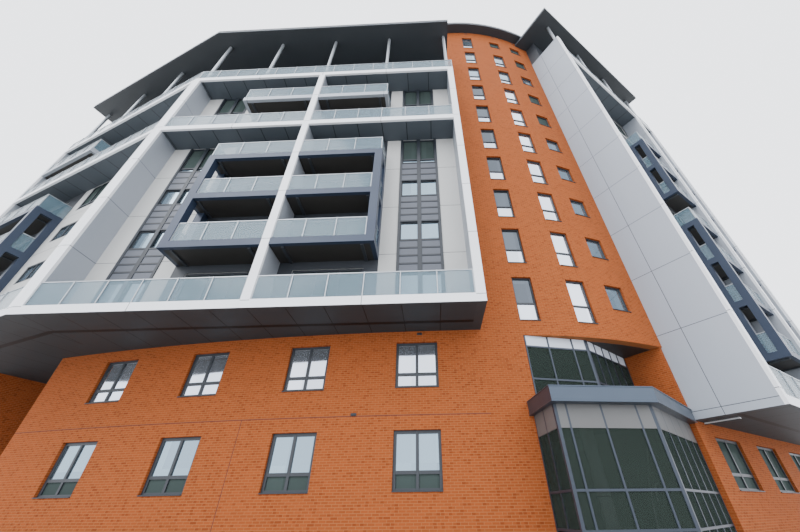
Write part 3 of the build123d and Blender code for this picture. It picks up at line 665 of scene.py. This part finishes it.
def panelled(name, tone, roughness, metal, joints_of):
    """Smooth panels with thin dark open joints, and foot panels on the undersides of the lowest."""
    shader = Shader(name)
    joints = joints_of(shader)
    toned = shader.weathered(colour(tone), 0.93, 1.04, 0.7)
    streaked = shader.mix(shader.streaks(3.0, 0.25) * 0.18, toned, shade(colour(tone), 0.72))
    faced = shader.mix(joints, streaked, colour("joint"))
    foot = shader.underside() * (shader.z < LEVEL_A)
    shader.put(Base_Color=shader.mix(foot, faced, foot_panels(shader)), Metallic=(1 - foot) * metal)
    shader.put(Roughness=shader.noise(1.6) * 0.14 + foot * 0.2 + roughness)
    shader.put(Normal=shader.bump(joints * -1, 0.5, 0.006))
    return shader.material


def storey_joints(shader):
    """Level joints at every floor."""
    return (shader.z - LEVEL_A).line(STOREY, sizes().joint)


def fin_joints(shader):
    """Joints of the fin under the floors, over its foot and down its face."""
    width = sizes().joint
    upright = (shader.run(right_front)[1] - FIN_SPLIT).mark(width)
    lower = (shader.z - FIN_FOOT_JOINT).mark(width)
    floors = (shader.z - LEVEL_A + FIN_JOINT_DROP).line(STOREY, width) * (shader.z > FIRST + DECK)
    return floors.larger(upright).larger(lower)


def wing_split(shader):
    """Distances along and into whichever wing a point lies on."""
    main_u, main_v = shader.run(main_front)
    left_u, left_v = shader.run(left_front)
    right_u, right_v = shader.run(right_front)
    on_left = main_u < main_v * main_front.slant
    on_right = right_u > 0
    on_main = (1 - on_left) * (1 - on_right)
    u = main_u * on_main + left_u * on_left + right_u * on_right
    v = main_v * on_main + left_v * on_left + right_v * on_right
    return u, v


def beam_joints(shader):
    """Upright joints along the edges of the frame."""
    return (wing_split(shader)[0] - HALF_FRONT).line(BEAM_BAY, sizes().joint)


def soffit_joints(shader):
    """Joints of the panels under a deck, with a groove along the foot of the frame."""
    u, v = wing_split(shader)
    groove = (v - GROOVE_INSET).mark(sizes().foot_groove) * (shader.z < LEVEL_A)
    return (u - SOFFIT_START).line(sizes().soffit_bay, sizes().soffit_joint).larger(groove)


def slab(name):
    """Concrete floor with panels under its parts in the open."""
    shader = Shader(name)
    down = shader.underside()
    joints = soffit_joints(shader)
    under = shader.mix((shader.z < LEVEL_A) * down, shader.weathered(colour("soffit")), foot_panels(shader))
    # Joints and the foot groove take the joint colour at a twentieth of its brightness: dark joints with
    # painted shade in them
    under = shader.mix(joints, under, shade(colour("joint"), 0.05))
    shader.put(Base_Color=shader.mix(down, shader.weathered(colour("concrete")), under))
    shader.put(Roughness=0.8 - down * 0.22, Specular_IOR_Level=0.35)
    shader.put(Normal=shader.bump(joints * down * -1, 0.4, 0.006))
    return shader.material


def coated(name, tone, roughness, metal=0.0):
    """Even coated metal with a slow change of tone and faint streaks."""
    shader = Shader(name)
    toned = shader.weathered(colour(tone), 0.9, 1.08, 1.4)
    streaked = shader.mix(shader.streaks(5.0, 0.5) * 0.2, toned, shade(colour(tone), 0.75))
    shader.put(Base_Color=streaked, Roughness=shader.noise(2.2) * 0.16 + roughness, Metallic=metal)
    return shader.material


def roofing(name):
    """Dark roof with plain panels under its overhang, in the soffit colour darkened as painted shade."""
    shader = Shader(name)
    down = shader.underside()
    joints = soffit_joints(shader) * down
    # The panels under the overhang take the soffit colour at about a third of its brightness: painted shade
    # under the roof
    under = shader.weathered(shade(colour("soffit"), 0.36), 0.85, 1.1)
    toned = shader.mix(down, shader.weathered(colour("roof")), under)
    shader.put(Base_Color=shader.mix(joints * 0.7, toned, shade(colour("joint"), 0.5)))
    shader.put(Roughness=0.6 - down * 0.15, Normal=shader.bump(joints * -1, 0.3, 0.005))
    return shader.material


def clouded_glass(name, tone, alpha, roughness):
    """Translucent glass with faint cloudiness."""
    shader = Shader(name)
    shader.put(Base_Color=shader.weathered(colour(tone), 0.94, 1.04, 1.8))
    shader.put(Alpha=shader.noise(1.2) * 0.1 + alpha, Roughness=roughness, IOR=1.5)
    shader.material.surface_render_method = "BLENDED"
    return shader.material


def entrance_panes(name):
    """Dark clear glass of the entrance, with pale panes along the head of the recess that carry a painted
    reflection of the bright sky.
    """
    shader = Shader(name)
    # Along the head the panes take the pale pane colour, a painted reflection of the bright sky, while the
    # glass's own reflection is turned off
    head = shader.z > RECESS_HEAD
    toned = shader.weathered(colour("entrance_glass"), 0.9, 1.1, 1.8)
    shader.put(Base_Color=shader.mix(head, toned, colour("pale_pane")), Alpha=head * 0.2 + 0.7)
    shader.put(Roughness=0.03, Specular_IOR_Level=0.0)
    shader.material.surface_render_method = "BLENDED"
    return shader.material


def mirror_pane(name, tone, mirror):
    """Window pane that mirrors its surroundings, each pane a little different."""
    shader = Shader(name)
    spans = zip((shader.x, shader.y, shader.z), PANE_CELL)
    luck = shader.luck(*[(across / span).floor() for across, span in spans])
    shader.put(Base_Color=shader.mix(luck, shade(colour(tone), 0.86), shade(colour(tone), 1.08)))
    shader.put(Metallic=mirror, Roughness=luck * 0.04 + 0.04, Specular_IOR_Level=0.0)
    shader.put(Normal=shader.bump(shader.noise(1.3, 1.0), 0.08, 0.02))
    return shader.material


# Each finish with the function that makes it and its details: mostly a colour, its roughness and its metal
FINISHES = {
    "orange_brick": (brickwork, "flat"),
    "base_brick": (brickwork, "base"),
    "tower_brick": (brickwork, "tower"),
    "silver_panel": (panelled, "silver", 0.36, 0.25, storey_joints),
    "strip_panel": (coated, "strip", 0.35, 0.25),
    "fin_panel": (panelled, "silver", 0.34, 0.25, fin_joints),
    "white_frame": (panelled, "white", 0.4, 0.1, storey_joints),
    "white_beam": (panelled, "white", 0.4, 0.1, beam_joints),
    "silver_beam": (panelled, "silver", 0.36, 0.25, beam_joints),
    "cream_panel": (panelled, "cream", 0.5, 0.0, storey_joints),
    "beige_panel": (coated, "spandrel", 0.35),
    "canopy_steel": (coated, "canopy", 0.26, 0.65),
    "dark_soffit": (coated, "deck", 0.5),
    "dark_cladding": (coated, "cladding", 0.4),
    "dark_frame": (coated, "frame", 0.35),
    "screen_frame": (coated, "screen", 0.35, 0.3),
    "dark_roof": (roofing,),
    "blue_steel": (coated, "steel", 0.35, 0.2),
    "rail_metal": (coated, "metal", 0.3, 0.6),
    "deck_panel": (slab,),
    "grey_concrete": (slab,),
    "frosted_glass": (clouded_glass, "railing_glass", 0.35, 0.1),
    "clear_glass": (entrance_panes,),
    "pale_pane": (mirror_pane, "pale_pane", 0.95),
    "grey_pane": (mirror_pane, "grey_pane", 0.7),
    "blue_pane": (mirror_pane, "blue_pane", 0.85),
    "dark_pane": (mirror_pane, "dark_pane", 0.06),
}

# Solids whose finish isn't the one named after their slot
NODE_FINISHES = {
    "base_panels": "base_brick", "base_piers": "base_brick", "tower_panels": "tower_brick",
    "tower_piers": "tower_brick", "right_fin": "fin_panel", "frame_beams": "white_beam",
    "balcony_silver_edges": "silver_beam", "frame_decks": "deck_panel", "entrance_canopy": "canopy_steel",
    "screen_posts": "screen_frame", "screen_rails": "screen_frame", "recess_soffit": "dark_soffit",
}

made_finishes = {}


def finish_of(name):
    """Material of a finish, made when it is first asked for."""
    if name not in made_finishes:
        maker, *details = FINISHES[name]
        made_finishes[name] = maker(name, *details)
    return made_finishes[name]


def dress_solids():
    """Gives every solid of the frame its finish."""
    for row in frame["record"]["subparts"]:
        look = NODE_FINISHES.get(row["node"], row["material_slot"])
        solid = frame["nodes"][row["node"]]
        solid.data.materials.clear()
        solid.data.materials.append(finish_of(look))


def even_starts(ends, count, width):
    """Where evenly spaced windows of a width start along a wall."""
    pitch = (ends[1] - ends[0]) / count
    return [ends[0] + (n + 0.5) * pitch - width / 2 for n in range(count)]


def tower_windows():
    """Windows of the tower: tall beside the frame, short beside the fin and small at the top."""
    glazing = Glazing("tower", sizes().tower_bar)
    radius = TOWER_RADIUS - sizes().window_inset
    upper = ("grey_pane", "pale_pane", "blue_pane")
    for column, (near, far) in enumerate(TOWER_COLUMNS):
        width = 2 * radius * math.sin(math.radians(far - near) / 2)
        for n in range(TOWER_STOREYS):
            sill, head = (SHORT_SILL if column == 2 else TALL_SILL), TOWER_HEAD
            if n == TOWER_STOREYS - 1 and column:
                sill, head = TOP_HEIGHTS
            tall = sill == TALL_SILL
            tones = ("pale_pane", upper[column] if n < TOWER_SKY_STOREY else "blue_pane")
            if not tall:
                tones = ("blue_pane" if n in TOWER_BLUE_STOREYS else "dark_pane",)
            place = arc_place(TOWER_CENTRE, radius, (near + far) / 2, level(n) + sill)
            place = place @ Matrix.Translation((-width / 2, 0, 0))
            glazing.window(place, width, head - sill, (), TOWER_RAIL if tall else (), tones)
            glazing.sill(place, width, sizes().window_inset)
    glazing.finish()


def base_windows():
    """Windows of the brick base, in two rows, with one row under the right wing."""
    glazing = Glazing("base", sizes().window_bar)
    inset = sizes().window_inset
    width, sill, head = BASE_WINDOW
    rows = ((GROUND_RISE, ("dark_pane", "blue_pane")), (FIRST, ("pale_pane",)))
    places = []
    for n in range(BASE_COLUMNS):
        run = n * BASE_PITCH + width / 2
        angle = -math.degrees(math.asin(run / BASE_RADIUS))
        place = arc_place(BASE_CENTRE, BASE_RADIUS - inset, angle, sill)
        places.append(place @ Matrix.Translation((-width / 2, 0, 0)))
    for u in even_starts((PASSAGE_FAR + BRICK_WALL, LEFT_LENGTH - BRICK_WALL), 2, width):
        places.append(left_front.place(u, LEFT_BASE + inset, sill))
    for place in places:
        for height, tones in rows:
            spot = Matrix.Translation((0, 0, height)) @ place
            glazing.window(spot, width, head - sill, MIDDLE, LOW_RAIL, tones)
            glazing.sill(spot, width, inset)
    for u in even_starts((POST, RIGHT_LENGTH - BRICK_WALL), 3, RIGHT_BASE_WIDTH):
        spot = right_front.place(u, RIGHT_BASE + inset, GROUND_RISE + sill)
        glazing.window(spot, RIGHT_BASE_WIDTH, head - sill, MIDDLE, LOW_RAIL, ("dark_pane",))
        glazing.sill(spot, RIGHT_BASE_WIDTH, inset)
    glazing.finish()


def stack_windows(glazing, stretch, u, floors, ceiling):
    """Windows over some floors, the last of them up to the deck overhead, and the edges of them all."""
    sill, head = STRIP_HEIGHTS
    edges = []
    for floor in floors:
        last = floor == floors[-1]
        low = floor + (TALL_STRIP_SILL if last else sill)
        high = ceiling - DECK if last else floor + head
        place = stretch.place(u, RECESS + STRIP_INSET, low)
        rails = TALL_STRIP_RAIL if last else ()
        glazing.window(place, STRIP_WIDTH, high - low, MIDDLE, rails, ("blue_pane", "dark_pane"))
        edges += [low, high]
    return edges


def strip_bars(bars, panels, stretch, u, edges):
    """Upright and level bars of a window strip, with panels between its windows."""
    s = sizes()
    post, proud, half = s.strip_post, s.strip_proud, s.strip_bar / 2
    for middle, width in ((0, post), (STRIP_WIDTH / 2, post * MULLION_SHARE), (STRIP_WIDTH, post)):
        place = stretch.place(u + middle, RECESS, edges[0])
        bars.block(place, (-width / 2, -proud, 0), (width / 2, SOFT, edges[-1] - edges[0]), SOFT)
    for low, high in zip(edges[::2], edges[1::2]):
        place = stretch.place(u, RECESS, low)
        panels.block(place, (0, -STRIP_PANEL, 0), (STRIP_WIDTH, SEAT, high - low))
        count = max(1, round((high - low) / STRIP_BAR_PITCH))
        for n in range(count + 1):
            place = stretch.place(u, RECESS, low + (high - low) * n / count)
            end = (STRIP_WIDTH - post / 2, SOFT, half)
            bars.block(place, (post / 2, -proud * LEVEL_BAR_SHARE, -half), end, SOFT)


def strip_windows():
    """Upright window columns beside the balcony boxes, on the main front with bars and panels."""
    glazing = Glazing("strip", sizes().window_bar)
    panels = Piece("strip_panels")
    for stretch, u in STRIPS:
        if stretch is right_front:
            stack_windows(glazing, stretch, u, RIGHT_FLOORS, RIGHT_TERRACE)
            continue
        for floors, ceiling in ((LOWER_FLOORS, level(4)), (UPPER_FLOORS, TERRACE)):
            edges = stack_windows(glazing, stretch, u, floors, ceiling)
            if stretch is main_front:
                strip_bars(glazing.frames, panels, stretch, u, [floors[0], *edges])
    glazing.finish()
    panels.finish("strip_panel", "silver_panel")


def balcony_doors():
    """Glazed doors behind the balconies, with dark plates round them that are partly dark cladding and
    partly painted shade under the boxes.
    """
    glazing = Glazing("door", sizes().window_bar)
    cladding = Piece("door_surrounds")
    low, high = DOOR_HEIGHTS
    both = LOWER_FLOORS + UPPER_FLOORS
    rows = [(box, DOOR_WIDTH, 3, both) for box in (LEFT_BOX, *MAIN_BOXES)]
    rows += [(box, RIGHT_DOOR, 2, RIGHT_FLOORS) for box in RIGHT_BOXES]
    for (stretch, start, end), width, count, floors in rows:
        u = (start + end - width) / 2
        columns = [n / count for n in range(1, count)]
        for floor in floors:
            place = stretch.place(u, RECESS + FRAME_INSET, floor + low)
            glazing.window(place, width, high - low, columns, (), ("dark_pane",))
            top = STOREY - DECK if floor > FIRST else LEVEL_A - FIRST - DECK
            # Dark plates beside and over each door, up to the deck overhead: partly the real dark cladding,
            # partly painted shade under the box above
            spans = ((start, u, CLADDING_AND_SHADE_GAP), (u + width, end, CLADDING_AND_SHADE_GAP), (u, u + width, high))
            for near, far, foot in spans:
                spot = stretch.place(near, RECESS, floor + foot)
                cladding.block(spot, (0, -CLADDING_AND_SHADE, 0), (far - near, SEAT, top - foot))
    glazing.finish()
    cladding.finish("dark_cladding", "dark_cladding")


def terrace_windows():
    """Windows of the set-back top storeys."""
    glazing = Glazing("terrace", sizes().window_bar)
    width, sill, head = PLAIN_WINDOW
    start = (PENTHOUSE + WALL) * main_front.slant
    walls = ((main_front, (start, main_front.length - POST), 5, (TERRACE, level(7))),
             (left_front, (start, LEFT_LENGTH - POST), 4, (TERRACE, level(7))),
             (right_front, (POST, RIGHT_LENGTH - POST), 4, (RIGHT_TERRACE, level(9))))
    for stretch, ends, count, floors in walls:
        for u in even_starts(ends, count, width):
            for floor in floors:
                place = stretch.place(u, PENTHOUSE + FRAME_INSET, floor + sill)
                glazing.window(place, width, head - sill, MIDDLE, (), ("dark_pane",))
    glazing.finish()


def rear_windows():
    """Windows of the rear walls."""
    glazing = Glazing("rear", sizes().window_bar)
    width, sill, head = PLAIN_WINDOW
    start = DEPTH * main_front.slant
    low = [GROUND_RISE, FIRST]
    upper = [level(n) for n in range(8)]
    right_upper = [FIRST, *[level(n) for n in range(10)]]
    left_base = (PASSAGE_FAR + BRICK_WALL, LEFT_LENGTH - BRICK_WALL)
    walls = ((main_front, (start, main_front.length - POST), 4, low + upper, DEPTH),
             (left_front, (start, LEFT_LENGTH - POST), 3, upper, DEPTH),
             (left_front, left_base, 1, low, DEPTH),
             (right_front, (POST, RIGHT_LENGTH - POST), 3, right_upper, RIGHT_DEPTH),
             (right_front, (POST, RIGHT_LENGTH - BRICK_WALL), 3, [GROUND_RISE], RIGHT_DEPTH))
    for stretch, ends, count, floors, depth in walls:
        for u in even_starts(ends, count, width):
            for floor in floors:
                place = stretch.outward(u, depth - REAR_INSET, floor + sill)
                glazing.window(place, width, head - sill, MIDDLE, LOW_RAIL, ("blue_pane", "dark_pane"))
    glazing.finish()


def rail_posts():
    """Slim posts that divide the panes of the railings."""
    s = sizes()
    posts = Piece("railing_posts")
    left_start, left_end = LEFT_BOX[1:]
    (first_start, first_end), (second_start, second_end) = [box[1:] for box in MAIN_BOXES]
    (inner_start, inner_end), (outer_start, outer_end) = [box[1:] for box in RIGHT_BOXES]
    runs = []
    for start, end in ((POST, first_end), (second_start, main_front.length - POST)):
        runs += [(main_front, start, end, 0, height) for height in (LEVEL_A, level(4))]
    runs += [(left_front, POST, left_end, 0, height) for height in (LEVEL_A, level(4))]
    runs += [(right_front, POST, inner_end, 0, FIRST), (right_front, outer_start, outer_end, 0, FIRST)]
    runs += [(main_front, 0, main_front.length, 0, TERRACE), (left_front, 0, LEFT_LENGTH, 0, TERRACE),
             (right_front, POST, RIGHT_LENGTH, 0, RIGHT_TERRACE)]
    for n in BOX_STOREYS:
        post = BOX_POST if n < SLIM_BOX_STOREY else SLIM_POST
        runs += [(main_front, first_start + post, first_end, 0, level(n)),
                 (main_front, second_start, second_end - post, 0, level(n)),
                 (left_front, left_start + post, left_end, 0, level(n))]
    for n in RIGHT_BOX_STOREYS:
        post = SLIM_POST if n in RIGHT_SLIM_STOREYS else BOX_POST
        for start, end in ((inner_start + post, inner_end), (outer_start, outer_end)):
            runs.append((right_front, start, end, RIGHT_BOX_FRONT, level(n)))
    half = s.rail_post / 2
    for stretch, start, end, front, height in runs:
        count = max(2, round((end - start) / s.rail_bay))
        for n in range(1, count):
            place = stretch.place(start + (end - start) * n / count, front, height)
            low = (-half, RAIL_POST_FRONT, FASCIA_RISE)
            posts.block(place, low, (half, RAIL_POST_BACK, RAIL_HEIGHT), bevel=0.002)
    posts.finish("rail_metal", "rail_metal")


def deck_ribs():
    """Ribs under the balconies, behind their edge beams."""
    ribs = Piece("balcony_ribs")
    rows = [(box, 0, BOX_STOREYS) for box in (LEFT_BOX, *MAIN_BOXES)]
    rows += [(box, RIGHT_BOX_FRONT, RIGHT_BOX_STOREYS) for box in RIGHT_BOXES]
    half = RIB / 2
    for (stretch, start, end), front, numbers in rows:
        for n in numbers:
            for share in RIB_SHARES:
                u = start + (end - start) * share
                place = stretch.place(u, front + BEAM, level(n) - DECK)
                ribs.block(place, (-half, 0, -half), (half, RECESS - front - BEAM, NUDGE), bevel=0.004)
    ribs.finish("dark_cladding", "dark_soffit")


def roof_trims():
    """Light lines along the edges of the roofs."""
    s = sizes()
    trims = Piece("roof_trims")
    over = ROOF_OVERHANG
    radius = TOWER_RADIUS + over
    walls = ((main_front, main_front.length), (left_front, LEFT_LENGTH + ROOF_END))
    for height, proud in zip((LOWER_TRIM, ROOF - s.roof_trim), TRIM_REACHES):
        for stretch, end in walls:
            place = stretch.place(0, -over, MAIN_SOFFIT + height)
            trims.block(place, (-over * stretch.slant, -proud, 0), (end, SEAT, s.roof_trim))
        place = right_front.place(0, -RIGHT_OVERHANG, RIGHT_SOFFIT + height)
        trims.block(place, (RIGHT_ROOF_START, -proud, 0), (RIGHT_LENGTH + ROOF_END, SEAT, s.roof_trim))
        heights = (TOWER_TOP + height, TOWER_TOP + height + s.roof_trim)
        trims.arc_band(TOWER_CENTRE, (radius - SEAT, radius + proud), TOWER_ROOF_ANGLES, heights, TRIM_STEPS)
    trims.finish("rail_metal", "rail_metal")


def wall_fittings():
    """Small vents on the brickwork, the tower's vents and the lamp under the right wing's foot."""
    vents = Piece("wall_vents")
    for x, z in BASE_VENTS:
        angle = math.degrees(math.asin((x - BASE_CENTRE.x) / BASE_RADIUS))
        place = arc_place(BASE_CENTRE, BASE_RADIUS, angle, z)
        vents.plate(place, VENT, bevel=0.006)
        for n in range(VENT_SLATS):
            vents.block(place @ Matrix.Translation((0, 0, n * SLAT_STEP)), SLAT_LOW, SLAT_HIGH)
    for angle in TOWER_VENTS:
        place = arc_place(TOWER_CENTRE, TOWER_RADIUS, angle, TOWER_TOP - TOWER_VENT_DROP)
        vents.plate(place, TOWER_VENT, bevel=0.004)
    vents.finish("dark_frame", "dark_frame")
    lamp = Piece("foot_lamp")
    place = right_front.place(*LAMP_PLACE, FIRST - DECK)
    lamp.block(place, LAMP_LOW, LAMP_HIGH, bevel=0.008)
    lamp.finish("white_frame", "white_frame")


def canopy_edges():
    """Folded edges along the top and foot of the entrance canopy."""
    edges = Piece("canopy_edges")
    for start, end in zip(CANOPY_CORNERS, CANOPY_CORNERS[1:]):
        way = Vector(end) - Vector(start)
        angle = math.degrees(math.atan2(way.y, way.x))
        place = Matrix.Translation((*start, 0)) @ Matrix.Rotation(math.radians(angle), 4, "Z")
        for low in (CANOPY_FOOT, CANOPY_HEAD):
            end = (way.length + CANOPY_LAP, CANOPY_LAP, low + CANOPY_EDGE)
            edges.block(place, (-CANOPY_LAP, -CANOPY_PROUD, low), end, SOFT)
    edges.finish("canopy_steel", "blue_steel")


def lobby_rails():
    """Curved white handrails in the entrance hall."""
    data = bpy.data.curves.new("lobby_handrails", "CURVE")
    data.dimensions = "3D"
    data.bevel_depth = HANDRAIL_RADIUS
    data.bevel_resolution = 3
    data.use_fill_caps = True
    for route in HANDRAIL_ROUTES:
        spline = data.splines.new("NURBS")
        spline.points.add(len(route) - 1)
        for point, spot in zip(spline.points, route):
            point.co = (*spot, 1)
        spline.order_u = 3
        spline.use_endpoint_u = True
        spline.resolution_u = 8
    rails = bpy.data.objects.new("lobby_handrails", data)
    bpy.context.scene.collection.objects.link(rails)
    data.materials.append(finish_of("white_frame"))
    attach(rails, "root")


def camera_view():
    """Camera low in front of the entrance, looking up at the block."""
    data = bpy.data.cameras.new("camera")
    data.lens = 15.147
    data.sensor_width = 36
    data.sensor_fit = "HORIZONTAL"
    data.shift_x = -0.0244
    data.shift_y = -0.0065
    data.clip_end = 500
    turn = Matrix((CAMERA_RIGHT, CAMERA_UP, CAMERA_RIGHT.cross(CAMERA_UP))).transposed().to_4x4()
    camera = bpy.data.objects.new("camera", data)
    camera.matrix_world = Matrix.Translation(CAMERA_PLACE) @ turn
    bpy.context.scene.collection.objects.link(camera)
    bpy.context.scene.camera = camera


def stage():
    """Pale floor, pale surroundings and soft light."""
    mesh = bmesh.new()
    bmesh.ops.create_grid(mesh, x_segments=1, y_segments=1, size=FLOOR_SIZE)
    data = bpy.data.meshes.new("floor")
    mesh.to_mesh(data)
    mesh.free()
    floor = bpy.data.objects.new("floor", data)
    bpy.context.scene.collection.objects.link(floor)
    floor.location = (0, 0, -FLOOR_DROP)
    shader = Shader("pale_floor")
    shader.put(Base_Color=shader.weathered(paint(FLOOR_TONE), 0.96, 1.03, 0.2), Roughness=0.75)
    data.materials.append(shader.material)
    world = bpy.data.worlds.new("surroundings")
    world.use_nodes = True
    sky = world.node_tree.nodes["Background"]
    sky.inputs["Color"].default_value = paint(SKY_TONE)
    sky.inputs["Strength"].default_value = SKY_STRENGTH
    bpy.context.scene.world = world
    for name, spin, strength, angle in LAMPS:
        light = bpy.data.lights.new(name, "SUN")
        light.energy = strength
        light.angle = math.radians(angle)
        lamp = bpy.data.objects.new(name, light)
        lamp.rotation_euler = [math.radians(a) for a in spin]
        bpy.context.scene.collection.objects.link(lamp)


class BLOCK_OT_finishes(bpy.types.Operator):
    """Give the solids their brickwork, panels, steel and glass"""

    bl_idname = "block.finishes"
    bl_label = "Finishes"

    def execute(self, context):
        dress_solids()
        return {"FINISHED"}


class BLOCK_OT_tower_windows(bpy.types.Operator):
    """Glaze the three window columns of the tower"""

    bl_idname = "block.tower_windows"
    bl_label = "Tower windows"

    def execute(self, context):
        tower_windows()
        return {"FINISHED"}


class BLOCK_OT_base_windows(bpy.types.Operator):
    """Glaze the windows of the brick base"""

    bl_idname = "block.base_windows"
    bl_label = "Base windows"

    def execute(self, context):
        base_windows()
        return {"FINISHED"}


class BLOCK_OT_strip_windows(bpy.types.Operator):
    """Fit the barred window strips beside the balcony boxes"""

    bl_idname = "block.strip_windows"
    bl_label = "Window strips"

    def execute(self, context):
        strip_windows()
        return {"FINISHED"}


class BLOCK_OT_balcony_doors(bpy.types.Operator):
    """Fit the glazed doors and the dark plates behind the balconies, partly cladding and partly painted
    shade
    """

    bl_idname = "block.balcony_doors"
    bl_label = "Balcony doors"

    def execute(self, context):
        balcony_doors()
        return {"FINISHED"}


class BLOCK_OT_plain_windows(bpy.types.Operator):
    """Glaze the set-back top storeys and the rear walls"""

    bl_idname = "block.plain_windows"
    bl_label = "Top and rear windows"

    def execute(self, context):
        terrace_windows()
        rear_windows()
        return {"FINISHED"}


class BLOCK_OT_railing_posts(bpy.types.Operator):
    """Divide the railings with slim posts"""

    bl_idname = "block.railing_posts"
    bl_label = "Railing posts"

    def execute(self, context):
        rail_posts()
        return {"FINISHED"}


class BLOCK_OT_trims(bpy.types.Operator):
    """Add the balcony ribs, roof lines and canopy edges"""

    bl_idname = "block.trims"
    bl_label = "Ribs and trims"

    def execute(self, context):
        deck_ribs()
        roof_trims()
        canopy_edges()
        return {"FINISHED"}


class BLOCK_OT_fittings(bpy.types.Operator):
    """Add the wall vents, the lamp and the handrails of the entrance hall"""

    bl_idname = "block.fittings"
    bl_label = "Fittings"

    def execute(self, context):
        wall_fittings()
        lobby_rails()
        return {"FINISHED"}


class BLOCK_OT_stage(bpy.types.Operator):
    """Set up the camera, the pale floor and the light"""

    bl_idname = "block.stage"
    bl_label = "Camera and stage"

    def execute(self, context):
        camera_view()
        stage()
        return {"FINISHED"}


OPERATORS = (BLOCK_OT_stage, BLOCK_OT_finishes, BLOCK_OT_tower_windows, BLOCK_OT_base_windows,
             BLOCK_OT_strip_windows, BLOCK_OT_balcony_doors, BLOCK_OT_plain_windows,
             BLOCK_OT_railing_posts, BLOCK_OT_trims, BLOCK_OT_fittings)


class BLOCK_PT_panel(bpy.types.Panel):
    """Sidebar panel with the building's pieces, sizes and colours"""

    bl_idname = "BLOCK_PT_panel"
    bl_label = "Apartment block"
    bl_space_type = "VIEW_3D"
    bl_region_type = "UI"
    bl_category = "Apartment block"

    def draw(self, context):
        for operator in OPERATORS:
            self.layout.operator(operator.bl_idname)
        for group in (context.scene.block_sizes, context.scene.block_colours):
            column = self.layout.column()
            for name in group.__annotations__:
                column.prop(group, name)


CLASSES = (BlockSizes, BlockColours, *OPERATORS, BLOCK_PT_panel)


def register():
    """Makes the properties, operators and panel known."""
    for known in CLASSES:
        bpy.utils.register_class(known)
    bpy.types.Scene.block_sizes = bpy.props.PointerProperty(type=BlockSizes)
    bpy.types.Scene.block_colours = bpy.props.PointerProperty(type=BlockColours)


def unregister():
    """Takes the properties, operators and panel out again."""
    del bpy.types.Scene.block_colours
    del bpy.types.Scene.block_sizes
    for known in reversed(CLASSES):
        bpy.utils.unregister_class(known)


def main():
    """Makes every piece in order."""
    register()
    bpy.ops.block.stage()
    bpy.ops.block.finishes()
    bpy.ops.block.tower_windows()
    bpy.ops.block.base_windows()
    bpy.ops.block.strip_windows()
    bpy.ops.block.balcony_doors()
    bpy.ops.block.plain_windows()
    bpy.ops.block.railing_posts()
    bpy.ops.block.trims()
    bpy.ops.block.fittings()


if __name__ == "__main__":
    main()
